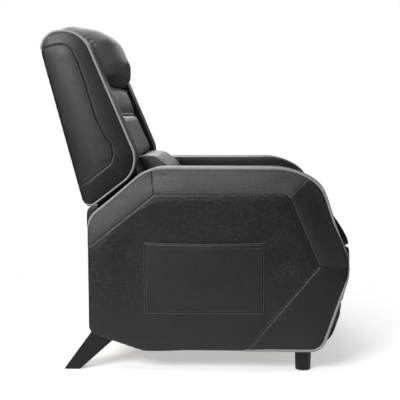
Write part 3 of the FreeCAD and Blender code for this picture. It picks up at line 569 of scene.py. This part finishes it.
def stitch_shape():
    """One stitch: a short thread with drawn-in ends, lying along X, modelled once."""
    global STITCH
    if STITCH is None:
        bpy.ops.object.select_all(action="DESELECT")
        bpy.ops.mesh.primitive_cylinder_add(vertices=6, radius=0.00055, depth=0.0024,
                                            rotation=(0.0, math.pi / 2, 0.0))
        made = bpy.context.object
        bpy.ops.object.transform_apply(location=False, rotation=True, scale=False)
        bpy.ops.object.mode_set(mode="EDIT")
        bpy.ops.mesh.select_mode(type="FACE")
        for end in (-1, 1):
            bpy.ops.mesh.select_all(action="DESELECT")
            bpy.ops.object.mode_set(mode="OBJECT")
            for face in made.data.polygons:
                face.select = face.normal.x * end > 0.9
            bpy.ops.object.mode_set(mode="EDIT")
            bpy.ops.mesh.extrude_region_move(
                TRANSFORM_OT_translate={"value": (0.0008 * end, 0.0, -0.0004)})
            bpy.ops.transform.resize(value=(1.0, 0.45, 0.45))
        bpy.ops.object.mode_set(mode="OBJECT")
        corners = points_of(made)
        faces = [tuple(face.vertices) for face in made.data.polygons]
        bpy.data.objects.remove(made)
        STITCH = (corners, faces)
    return STITCH


def stitches(name, cover, lines, toward, offsets, material, pitch=STITCH_PITCH, lift=0.0002):
    """Rows of stitches laid on a cover beside seams; toward is the way the needle goes in."""
    corners, faces = stitch_shape()
    toward = Vector(toward).normalized()
    tree = surface_of(cover)
    points, polygons = [], []
    for line in lines:
        line = spaced(line, pitch)
        middles = (line[1:] + line[:-1]) / 2
        runs = line[1:] - line[:-1]
        for middle, run in zip(middles, runs):
            run = Vector(run).normalized()
            across = toward.cross(run).normalized()
            for offset in offsets:
                spot = Vector(middle) + across * offset
                hit, normal, _, _ = tree.ray_cast(spot - toward * 0.06, toward, 0.13)
                if hit is None or normal.dot(toward) > -0.25:
                    continue
                lay = (run - normal * run.dot(normal)).normalized()
                turn = np.array((lay, normal.cross(lay), normal))
                base = len(points) * len(corners)
                points.append(corners @ turn + np.array(hit + normal * lift))
                polygons.extend(tuple(base + k for k in face) for face in faces)
    mesh = bpy.data.meshes.new(name)
    mesh.from_pydata(np.vstack(points).tolist(), [], polygons)
    made = bpy.data.objects.new(name, mesh)
    scene.collection.objects.link(made)
    shade(made)
    paint(made, material)
    return made


def on_side(line, x):
    return [(x, y, z) for y, z in line]


def piping(name, lines, radius, material, closed=False):
    """Round piping that follows the given lines, with its ends closed."""
    curve = bpy.data.curves.new(name, "CURVE")
    curve.dimensions = "3D"
    curve.bevel_depth = radius
    curve.bevel_resolution = 3
    curve.use_fill_caps = not closed
    for line in lines:
        spline = curve.splines.new("POLY")
        spline.points.add(len(line) - 1)
        for point, place in zip(spline.points, line):
            point.co = (*place, 1.0)
        spline.use_cyclic_u = closed
    made = bpy.data.objects.new(name, curve)
    scene.collection.objects.link(made)
    take(made)
    bpy.ops.object.convert(target="MESH")
    made = bpy.context.object
    shade(tidy_mesh(made))
    paint(made, material)
    return made


def finish_piece(obj, body, slot, *replaced):
    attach(obj, body)
    if replaced:
        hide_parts(*replaced)
    return obj


def both_sides(piece, body, slot):
    """Finishes a left piece and its mirrored twin, and gives both back with their sides."""
    twin = other_side(piece, piece.name.replace("left", "right"))
    pairs = (("left", piece), ("right", twin))
    for _, obj in pairs:
        finish_piece(obj, body, slot)
    return pairs


# ---------------------------------------------------------------- arms

# The arm's outer and inner faces, and where its inner face steps back low down.
ARM_OUT, ARM_IN, ARM_STEP = 0.390, 0.275, 0.287
BAND_LEAN = 0.013
SEAM_GAP = 0.0055


def arm_solid(name):
    """The arm's outer pad, drawn in to the whole width of the arm."""
    made = copy_part(name, "arm_outer_pad_left")
    points = points_of(made)
    points[points[:, 0] < 0.3705, 0] = ARM_IN
    put_points(made, points)
    return made


def shape_arm(points):
    """Leans the bands inwards towards the top and front piping, and steps the inner face back."""
    flat = points[:, 1:]
    banded = step(distance_to([ARM_SEAM], flat), 0.004, 0.060)
    banded *= ~inside(ARM_PANEL, flat)
    above = np.clip((flat[:, 1] - 0.30) / 0.20, 0.25, 1.0)
    outer = step(points[:, 0], 0.36, 0.385)
    points[:, 0] -= BAND_LEAN * banded * above * outer
    low = 1.0 - step(flat[:, 1], 0.296, 0.304)
    inner = points[:, 0] < ARM_STEP
    points[inner, 0] += (ARM_STEP - points[inner, 0]) * low[inner]
    shoulder = np.exp(-(((flat[:, 0] + 0.350) / 0.085) ** 2 + ((flat[:, 1] - 0.530) / 0.085) ** 2))
    fuller = 1.0 + 0.8 * np.clip(1.0 - ((points[:, 0] - 0.330) / 0.050) ** 2, 0.0, 1.0)
    points[:, 1] -= 0.0080 * shoulder * fuller + 0.0036 * step(-flat[:, 0], 0.18, 0.34)
    points[:, 1] += 0.0042 * step(flat[:, 0], 0.25, 0.34)
    points[:, 2] += 0.0065 * shoulder * fuller
    points[:, 2] -= 0.0035 * (flat[:, 1] < 0.14) * step(flat[:, 0], 0.02, 0.12)
    return points


def hold_arm(points):
    loop = outline_of("arm_outer_pad_left")
    flat = points[:, 1:]
    rim = distance_to([loop], flat) < 0.010
    edges = rim & ((points[:, 0] > 0.366) | (points[:, 0] < 0.285))
    seams = (distance_to([ARM_SEAM] + ARM_CROSS, flat) < 0.0055) & (points[:, 0] > 0.36)
    inner = points[:, 0] < 0.292
    under = flat[:, 1] < 0.075
    return edges | seams | inner | under


def paint_arm(cover):
    """Embosses the bands beyond the seam, with painted light and shade in their tones (the top and
    rear bands lighter, the front band darker), and gives the edge between the welts boxing leather.
    """
    paint(cover, SOFT_BLACK, DOTTED_PAINTED_LIGHT, RIBBED_FRONT_PAINTED_SHADE, RIBBED_REAR_PAINTED_LIGHT, BLACK, BOXING)
    centres, normals = faces_of(cover)
    flat = centres[:, 1:]
    kinds = np.zeros(len(flat), int)
    face = (normals[:, 0] > 0.35) & (centres[:, 0] > 0.355)
    banded = face & ~inside(ARM_PANEL, flat)
    (ay, az), (by, bz) = ARM_CROSS[1]
    ahead = (flat[:, 0] - ay) * (bz - az) - (flat[:, 1] - az) * (by - ay) < 0
    (cy, cz), (dy, dz) = ARM_CROSS[0]
    behind = (flat[:, 0] - cy) * (dz - cz) - (flat[:, 1] - cz) * (dy - cy) > 0
    dots, front_ribs, rear_ribs, calm, boxed = range(1, 6)
    # Painted light and shade: the top and rear bands get the lighter leathers and the front band the
    # darker one, to match how the light falls on them.
    kinds[banded] = dots
    kinds[banded & ahead] = front_ribs
    kinds[banded & behind] = rear_ribs
    kinds[banded & (flat[:, 1] < 0.323) & (flat[:, 0] < -0.1)] = calm
    crown = (np.abs(normals[:, 0]) < 0.70) & (centres[:, 0] > 0.276) & (flat[:, 1] > 0.335)
    rim = distance_to([outline_of("arm_outer_pad_left")], flat) < 0.036
    kinds[crown & rim] = boxed
    give_kinds(cover, kinds)


def rim_line(loop, x, start, end, inset):
    """The stretch of an outline from near one point to near another, over the top, drawn in."""
    ring = spaced(drawn_in(loop, inset), 0.004)[:-1]
    first = int(np.argmin(np.linalg.norm(ring - np.array(start), axis=1)))
    last = int(np.argmin(np.linalg.norm(ring - np.array(end), axis=1)))
    one = [ring[(first + k) % len(ring)] for k in range((last - first) % len(ring) + 1)]
    two = [ring[(first - k) % len(ring)] for k in range((first - last) % len(ring) + 1)]
    chosen = max((one, two), key=lambda run: max(p[1] for p in run))
    return [(x, p[0], p[1]) for p in chosen]


def make_arms():
    solid = arm_solid("arm_cover_left")
    cover = pad(solid, 0.0075, hold_arm, 0.008, 4.0, shape_arm, relax=4, margin=0.0018)
    points = points_of(cover)
    low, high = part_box("side_pocket_left")
    beyond = np.maximum(np.maximum(low.y - points[:, 1], points[:, 1] - high.y),
                        np.maximum(low.z - points[:, 2], points[:, 2] - high.z))
    points[:, 0] = np.minimum(points[:, 0], POCKET_BACK + 0.0028 * step(beyond, 0.0, 0.150))
    put_points(cover, points)
    sink(cover, [ARM_SEAM] + ARM_CROSS, 1)
    paint_arm(cover)
    rim = np.array([(0.38, y, z) for y, z in spaced(outline_of("arm_outer_pad_left"), 0.004)])
    rim = [tuple(place[1:]) for place in shape_arm(rim)]
    outer_line = rim_line(rim, 0.3775, (0.321, 0.379), (-0.137, 0.070), 0.0010)
    outer_line = [(x + 0.0095 * (1.0 - step(z, 0.20, 0.38)), y, z) for x, y, z in outer_line]
    inner_line = rim_line(rim, ARM_IN + 0.003, (0.321, 0.379), (-0.390, 0.150), 0.0025)
    welts = piping("arm_piping_left", [outer_line], PIPING_RADIUS, PIPING)
    dark = piping("arm_inner_piping_left", [inner_line], DARK_PIPING_RADIUS, BLACK)
    rows = stitches("arm_stitching_left", cover, [on_side(ARM_SEAM, ARM_OUT)], (-1, 0, 0),
                    (-SEAM_GAP, SEAM_GAP), DARK_THREAD)
    pieces = ((cover, "black_leather"), (welts, "grey_leather"), (dark, "black_leather"),
              (rows, "black_leather"))
    for piece, slot in pieces:
        for side, obj in both_sides(piece, "base", slot):
            if piece is cover:
                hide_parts(f"arm_outer_pad_{side}", f"arm_inner_pad_{side}",
                            f"arm_boxing_{side}")


# ---------------------------------------------------------------- pockets

# The pocket's leather: how far out it lies, its belly, its sagging top, its thickness, and how
# far its seam is from its edge.
POCKET_FACE, POCKET_BELLY, POCKET_SAG = 0.3925, 0.0030, 0.0038
POCKET_LEATHER, POCKET_SEAM = 0.0018, 0.0065


def make_pockets():
    """A flat patch pocket, open at its top, with a bound edge sewn down on three sides."""
    low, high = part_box("side_pocket_left")
    length, drop = high.y - low.y, high.z - low.z
    middle = (low + high) / 2
    bpy.ops.object.select_all(action="DESELECT")
    bpy.ops.mesh.primitive_grid_add(x_subdivisions=44, y_subdivisions=26, size=1.0,
                                    rotation=(math.pi / 2, 0.0, math.pi / 2))
    patch = bpy.context.object
    patch.name = "side_pocket_cover_left"
    bpy.ops.object.transform_apply(location=False, rotation=True, scale=False)
    points = points_of(patch)
    v, w = points[:, 1] * 2, points[:, 2] * 2
    points[:, 1] = middle.y + points[:, 1] * length
    points[:, 2] = middle.z + points[:, 2] * drop
    belly = np.clip(1 - v * v, 0, 1) * (0.35 + 0.65 * step(w, -1.0, 0.6))
    points[:, 0] = POCKET_FACE + POCKET_BELLY * belly * (1 - np.clip(-w, 0, 1) ** 4)
    points[:, 2] -= POCKET_SAG * np.clip(1 - v * v, 0, 1) * step(w, 0.0, 1.0)
    put_points(patch, points)
    wall = patch.modifiers.new("Wall", "SOLIDIFY")
    wall.thickness = POCKET_LEATHER
    wall.offset = 0.0
    apply_all(patch)
    tidy_mesh(patch, 1e-6)
    shade(patch)
    paint(patch, POCKET)
    sag = [(POCKET_FACE + POCKET_BELLY * (1 - t * t), middle.y + t * length / 2,
            high.z - POCKET_SAG * (1 - t * t)) for t in np.linspace(-1, 1, 41)]
    down = [(POCKET_FACE, high.y, z) for z in np.linspace(high.z, low.z, 24)[1:]]
    across = [(POCKET_FACE, y, low.z) for y in np.linspace(high.y, low.y, 40)[1:]]
    up = [(POCKET_FACE, low.y, z) for z in np.linspace(low.z, high.z, 24)[1:-1]]
    binding = piping("side_pocket_binding_left", [sag + down + across + up], 0.0019, BINDING,
                     closed=True)
    front, rear = low.y + POCKET_SEAM, high.y - POCKET_SEAM
    seam = [(POCKET_FACE, front, high.z - 0.004), (POCKET_FACE, front, low.z + POCKET_SEAM),
            (POCKET_FACE, rear, low.z + POCKET_SEAM), (POCKET_FACE, rear, high.z - 0.004)]
    hem = [(POCKET_FACE + POCKET_BELLY, middle.y + t * (length / 2 - POCKET_SEAM),
            high.z - 0.014 - 0.0036 * (1 - t * t)) for t in np.linspace(-1, 1, 31)]
    rows = stitches("side_pocket_stitching_left", patch, [seam, hem], (-1, 0, 0), (0.0,),
                    DARK_THREAD)
    for piece in (patch, binding, rows):
        for side, obj in both_sides(piece, "base", "pocket_leather"):
            if piece is patch:
                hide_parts(f"side_pocket_{side}")


# ---------------------------------------------------------------- wings

def rear_of_back(height):
    """How far back the wings and the rear cover reach at a height."""
    return 0.339 + 0.27 * (height - 0.511)


def wing_outline(flat):
    """A wing's outline in side view: a little fuller in front high up, slimmer low down."""
    middle = 0.305 + 0.34 * (flat[:, 1] - 0.65)
    front = step(middle - flat[:, 0], 0.0, 0.030)
    flat[:, 0] -= 0.0040 * front * step(flat[:, 1], 0.66, 0.76)
    flat[:, 0] += 0.0025 * front * (1.0 - step(flat[:, 1], 0.60, 0.70))
    return flat


def shape_wing(points):
    """Crowns the wing's outer face: it rises from its welt and is full in the middle."""
    points[:, 1:] = wing_outline(points[:, 1:])
    outer = step(points[:, 0], 0.315, 0.345)
    depth = distance_to([outline_of("wing_left")], points[:, 1:])
    points[:, 0] += WING_CROWN * outer * (1.0 - (1.0 - np.clip(depth / 0.120, 0.0, 1.0)) ** 2)
    return points


def hold_wing(points):
    loop = outline_of("wing_left")
    flat = points[:, 1:]
    rim = distance_to([loop], flat) < 0.012
    edges = rim & ((points[:, 0] > 0.338) | (points[:, 0] < 0.274))
    seams = (distance_to([WING_SEAM], flat) < 0.005) & (points[:, 0] > 0.33)
    return edges | seams


def make_wings():
    cover = pad(copy_part("wing_cover_left", "wing_left"), 0.0065, hold_wing, 0.006, 4.0, shape_wing,
                relax=4, margin=0.0015)
    sink(cover, [WING_SEAM], 1)
    paint(cover, SOFT_BLACK, BOXING)
    rim = [tuple(p) for p in wing_outline(np.array(outline_of("wing_left")))]
    centres, normals = faces_of(cover)
    rear_edge = centres[:, 1] > rear_of_back(centres[:, 2]) - 0.030
    edge = (distance_to([rim], centres[:, 1:]) < 0.016) & (np.abs(normals[:, 0]) < 0.72)
    edge &= ~(rear_edge & (centres[:, 2] < 0.950))
    give_kinds(cover, edge)
    outer_line = rim_line(rim, 0.3495, (0.463, 0.955), (0.335, 0.500), 0.0004)
    inner_line = rim_line(rim, 0.2655, (0.463, 0.955), (0.335, 0.500), 0.0008)
    welts = piping("wing_piping_left", [outer_line], WING_PIPING_RADIUS, PIPING)
    dark = piping("wing_inner_piping_left", [inner_line], DARK_PIPING_RADIUS, BLACK)
    rows = stitches("wing_stitching_left", cover, [on_side(WING_SEAM, 0.350)], (-1, 0, 0),
                    (-SEAM_GAP, SEAM_GAP), THREAD)
    for piece, slot in ((cover, "black_leather"), (welts, "grey_leather"),
                        (dark, "black_leather"), (rows, "black_leather")):
        put_points(piece, points_of(piece) + WING_AHEAD)
        for side, obj in both_sides(piece, "back", slot):
            if piece is cover:
                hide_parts(f"wing_{side}")


# ---------------------------------------------------------------- back cushions

# Half the width of the cushions, the rise of the V at their sides and how far in they are drawn.
CUSHION_HALF = 0.262
V_RISE = 0.013
CUSHION_REACH, HEADREST_REACH = 0.2605, 0.2600


def squeeze(points, reach):
    """Draws a pad's sides in a little, so that it stays clear of the wings."""
    points[:, 0] *= reach / CUSHION_HALF
    return points


def v_lift(points, low, high, rising):
    """Raises one edge of a pad towards the sides, which leaves a shallow V."""
    share = step(points[:, 2], low, high)
    share = share if rising else 1.0 - share
    points[:, 2] += V_RISE * share * np.abs(points[:, 0]) / CUSHION_HALF
    return points


def front_of_back(height):
    """How far back the cushions' front face is at a height."""
    return 0.227 + 0.388 * (height - 0.690)


def back_rear_held(depth):
    """Holds what lies deeper than this behind the back's front line."""
    def hold(points):
        return points[:, 1] > front_of_back(points[:, 2]) + depth
    return hold


HEADREST_ROOT = (0.440, 0.857)
# Where the headrest is fuller or flatter than the frame's block: place, reach and push.
HEADREST_PUSHES = (((0.300, 1.004), 0.055, (-0.0035, 0.0085)),
                   ((0.255, 0.950), 0.065, (0.0085, -0.0020)))


def shape_headrest(points):
    """Crowns the headrest from side to side: it is full in the middle and low at the wings."""
    fall = np.clip(np.abs(points[:, 0]) / CUSHION_HALF, 0.0, 1.0) ** 3.5
    for axis, root, loss in zip((1, 2), HEADREST_ROOT, (0.27, 0.17)):
        points[:, axis] = root + (points[:, axis] - root) * (0.992 - loss * fall)
    middle = 1.0 - step(np.abs(points[:, 0]), 0.12, 0.25)
    for centre, reach, push in HEADREST_PUSHES:
        near = np.exp(-((points[:, 1:] - centre) ** 2).sum(1) / reach ** 2) * middle
        points[:, 1:] += near[:, None] * np.array(push)
    return squeeze(points, HEADREST_REACH)


def gather(obj):
    """Short creases that run in from the sides of the headrest, round its upper front."""
    points = points_of(obj)
    across = points[:, 1:] - np.array(HEADREST_ROOT)
    reach = np.linalg.norm(across, axis=1)
    turn = np.arctan2(across[:, 1], -across[:, 0])
    side = step(np.abs(points[:, 0]), 0.222, 0.258)
    window = np.exp(-((turn - 0.98) / 0.34) ** 2) * step(reach, 0.060, 0.100)
    folds = np.sin(turn * 2 * math.pi / 0.105 + 1.2 * np.sin(np.abs(points[:, 0]) * 60.0))
    push = 0.0024 * side * window * folds
    out = across / np.maximum(reach, 1e-9)[:, None]
    points[:, 1:] += push[:, None] * out
    put_points(obj, points)


def make_back_cushions():
    def lower_shape(points):
        return v_lift(squeeze(points, CUSHION_REACH), 0.540, 0.620, True)

    def main_shape(points):
        return v_lift(squeeze(points, CUSHION_REACH), 0.622, 0.740, False)

    def plain_shape(points):
        return squeeze(points, CUSHION_REACH)

    rear = back_rear_held(0.075)
    plan = (
        ("lower_back_cover", "lower_back_pad", "black_leather", SOFT_BLACK, lower_shape, 0.011),
        ("main_back_cover", "main_back_pad", "grey_leather", GREY, main_shape, 0.010),
        ("upper_back_cover", "upper_back_pad", "grey_leather", GREY, plain_shape, 0.009),
        ("headrest_cover", "headrest_pad", "black_leather", BOXING, shape_headrest, 0.008),
    )
    for name, part, slot, material, shape, cap in plan:
        made = pad(copy_part(name, part), 0.0070, rear, cap, 4.0, shape, relax=7,
                   sideways=0.25, out=BACK_OUT)
        if name == "headrest_cover":
            gather(made)
        paint(made, material)
        finish_piece(made, "back", slot, part)


def make_back_piping():
    """Welts across the back: a shallow V under the main pad, a strip over it and one on top."""
    across = np.linspace(-0.257, 0.257, 90)
    vee = 0.6205 + V_RISE * np.abs(across) / CUSHION_HALF
    welts = (("v_piping", vee, 0.0030, LIGHT_GREY, 0.0015),
             ("middle_piping", np.full_like(across, 0.7660), 0.0038, GREY, -0.0010),
             ("top_piping", np.full_like(across, 0.8465), 0.0032, LIGHT_GREY, 0.0045))
    for name, height, radius, material, proud in welts:
        ends = 0.006 * step(np.abs(across), 0.235, 0.257)
        line = [(x, front_of_back(z) - proud + e, z) for x, z, e in zip(across, height, ends)]
        welt = piping("back_" + name, [line], radius, material)
        finish_piece(welt, "back", "grey_leather")


def make_back_shell():
    """The flat rear cover and the roll that hides the hinge."""
    def rear_hold(points):
        back = rear_of_back(points[:, 2])
        edge = (np.abs(points[:, 0]) > 0.248) | (points[:, 2] < 0.497) | (points[:, 2] > 0.995)
        centre = np.abs(points[:, 0]) < 0.005
        return (points[:, 1] < back - 0.012) | edge | centre

    cover = pad(copy_part("rear_cover", "back_rear_cover"), 0.0065, rear_hold, 0.007, 3.0,
                relax=2)
    paint(cover, SOFT_BLACK)
    finish_piece(cover, "back", "black_leather", "back_rear_cover")
    seam = [(0.0, rear_of_back(z) + 0.021, z) for z in np.linspace(0.500, 0.990, 60)]
    rows = stitches("rear_cover_stitching", cover, [seam], (0, -1, 0), (-0.006, 0.006),
                    DARK_THREAD)
    finish_piece(rows, "back", "black_leather")

    def roll_hold(points):
        return np.abs(points[:, 0]) > 0.232

    def roll_shape(points):
        points[:, 1] += 0.0065 * step(points[:, 1], 0.300, 0.345) * step(points[:, 2], 0.385, 0.420)
        return points

    roll = pad(copy_part("lower_roll_cover", "lower_back_roll"), 0.0075, roll_hold, 0.0015, 2.0,
               roll_shape, relax=3)
    paint(roll, SOFT_BLACK)
    finish_piece(roll, "back", "black_leather", "lower_back_roll")


def make_pillow():
    """The lumbar cushion: a light front, a dark gusset and double stitching at its edges."""
    def hold(points):
        return np.zeros(len(points), bool)

    made = pad(copy_part("lumbar_cushion", "lumbar_pillow"), 0.0062, hold, 0.004, 3.0, relax=10,
               margin=-0.001)
    paint(made, LIGHT_GREY, BOXING)
    centres, normals = faces_of(made)
    gusset = (np.abs(normals[:, 0]) > 0.62) & (np.abs(centres[:, 0]) > 0.165)
    give_kinds(made, gusset)
    low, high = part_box("lumbar_pillow")
    middle = np.array((low + high) / 2)
    seams = [[middle + BACK_UP * t + np.array((x, 0.0, 0.0)) for t in np.linspace(-0.06, 0.06, 24)]
             for x in (-0.157, 0.157)]
    rows = stitches("lumbar_stitching", made, seams, tuple(-BACK_OUT), (-0.004, 0.004),
                    DARK_THREAD)
    finish_piece(rows, "pillow", "grey_leather")
    finish_piece(made, "pillow", "grey_leather", "lumbar_pillow")


# ---------------------------------------------------------------- seat and footrest

# How far forward the seat and the footrest reach at each height, as (Z, Y).
FRONT_LINE = [(0.062, -0.391), (0.088, -0.411), (0.158, -0.435), (0.205, -0.441),
              (0.242, -0.450), (0.283, -0.455), (0.314, -0.458), (0.351, -0.457),
              (0.379, -0.455), (0.395, -0.449), (0.416, -0.437), (0.441, -0.421),
              (0.465, -0.404), (0.480, -0.380)]


def trim_front(points):
    """Brings the front face of the seat and the footrest onto one rounded line."""
    heights, reaches = zip(*FRONT_LINE)
    line = np.interp(points[:, 2], heights, reaches)
    points[:, 1] += (line - points[:, 1]) * step(line + 0.030 - points[:, 1], 0.0, 0.018)
    return points


def make_seat():
    def hold(points):
        return (points[:, 2] < 0.376) | (np.abs(points[:, 0]) > 0.266)

    def shape(points):
        points[:, 2] -= 0.006 * (points[:, 2] < 0.385) * step(-points[:, 1], 0.380, 0.430)
        return trim_front(points)

    cover = pad(copy_part("seat_cover", "seat_cushion"), 0.0080, hold, 0.010, 4.0, shape,
                relax=4, sideways=0.3, out=np.array((0.0, 0.0, 1.0)))
    paint(cover, SOFT_BLACK)
    finish_piece(cover, "seat", "black_leather", "seat_cushion")
    seam = [(x, -0.398, 0.47) for x in np.linspace(-0.262, 0.262, 40)]
    rows = stitches("seat_stitching", cover, [seam], (0, 0, -1), (-0.005, 0.005), DARK_THREAD)
    finish_piece(rows, "seat", "black_leather")


def make_footrest():
    def hold(points):
        return points[:, 1] > -0.404

    for name, part, cap in (("footrest_upper_cover", "footrest_upper_pad", 0.005),
                            ("footrest_lower_cover", "footrest_lower_pad", 0.005)):
        made = pad(copy_part(name, part), 0.0070, hold, cap, 4.0, trim_front, relax=3,
                   sideways=0.3, out=np.array((0.0, -1.0, 0.0)))
        paint(made, SOFT_BLACK)
        finish_piece(made, "footrest", "black_leather", part)


def make_rear_panel():
    def hold(points):
        edge = (np.abs(points[:, 0]) > 0.262) | (points[:, 2] < 0.137) | (points[:, 2] > 0.318)
        return edge | (points[:, 1] < 0.303)

    made = pad(copy_part("rear_panel_cover", "base_rear_panel"), 0.0060, hold, 0.005, 3.0,
               relax=2)
    paint(made, SOFT_BLACK)
    finish_piece(made, "base", "black_leather", "base_rear_panel")


# ---------------------------------------------------------------- setting

FLOOR_RADIUS = 1.15
FLOOR_GLOW = 0.47
SURROUND = 0.10
CAMERA_PLACE = (-2.855, -0.095, 0.7633)
CAMERA_LOOK = (0.99438, 0.03609, -0.09950)
CAMERA_LENS = 76.5
# Each light's name, place, aim, size and power.
LIGHTS = (
    ("top_light", (-0.3, 0.3, 3.2), (0.0, 0.0, 0.4), (2.8, 2.8), 62.0),
    ("side_light", (-2.9, 1.5, 2.05), (-0.38, 0.35, 0.85), (1.6, 1.0), 150.0),
    ("front_light", (0.6, -4.2, 2.2), (0.0, 0.0, 0.5), (2.4, 1.8), 45.0),
    ("far_light", (3.6, 0.8, 2.2), (0.0, 0.0, 0.6), (2.4, 1.8), 60.0),
)


def make_floor():
    bpy.ops.object.select_all(action="DESELECT")
    bpy.ops.mesh.primitive_circle_add(vertices=96, radius=FLOOR_RADIUS, fill_type="NGON",
                                      location=(0.0, 0.0, -0.0005))
    floor = bpy.context.object
    floor.name = "floor"
    material, tree, shader, place = start_finish("pale_floor")
    mottle = noise(tree, place, 3.0, 4.0)
    colour = mixed(tree, mottle, (0.62, 0.62, 0.62, 1.0), (0.66, 0.66, 0.66, 1.0))
    set_shader(tree, shader, colour, remap(tree, mottle, 0.85, 0.95),
               Emission_Color=(1.0, 1.0, 1.0, 1.0), Emission_Strength=FLOOR_GLOW)
    paint(floor, material)


def make_surround():
    """A plain white surround that is seen in full and lights the chair only faintly."""
    world = bpy.data.worlds.new("surround")
    scene.world = world
    world.use_nodes = True
    tree = world.node_tree
    tree.nodes.clear()
    output = tree.nodes.new("ShaderNodeOutputWorld")
    seen = tree.nodes.new("ShaderNodeBackground")
    seen.inputs["Color"].default_value = (1.0, 1.0, 1.0, 1.0)
    lit = tree.nodes.new("ShaderNodeBackground")
    lit.inputs["Color"].default_value = (1.0, 1.0, 1.0, 1.0)
    lit.inputs["Strength"].default_value = SURROUND
    path = tree.nodes.new("ShaderNodeLightPath")
    either = tree.nodes.new("ShaderNodeMixShader")
    tree.links.new(path.outputs["Is Camera Ray"], either.inputs[0])
    tree.links.new(lit.outputs[0], either.inputs[1])
    tree.links.new(seen.outputs[0], either.inputs[2])
    tree.links.new(either.outputs[0], output.inputs["Surface"])


def make_lights():
    for name, spot, aim, size, power in LIGHTS:
        data = bpy.data.lights.new(name, "AREA")
        data.shape = "RECTANGLE"
        data.size, data.size_y = size
        data.energy = power
        lamp = bpy.data.objects.new(name, data)
        scene.collection.objects.link(lamp)
        lamp.location = spot
        lamp.rotation_euler = (Vector(aim) - Vector(spot)).to_track_quat("-Z", "Y").to_euler()


def make_camera():
    camera_data = bpy.data.cameras.new("camera")
    camera_data.lens = CAMERA_LENS
    camera_data.sensor_width = 36.0
    camera = bpy.data.objects.new("camera", camera_data)
    scene.collection.objects.link(camera)
    camera.location = CAMERA_PLACE
    camera.rotation_euler = Vector(CAMERA_LOOK).to_track_quat("-Z", "Y").to_euler()
    scene.camera = camera
    scene.view_settings.view_transform = "Standard"


dress_frame()
make_arms()
make_pockets()
make_wings()
make_back_cushions()
make_back_piping()
make_back_shell()
make_pillow()
make_seat()
make_footrest()
make_rear_panel()
make_floor()
make_surround()
make_lights()
make_camera()
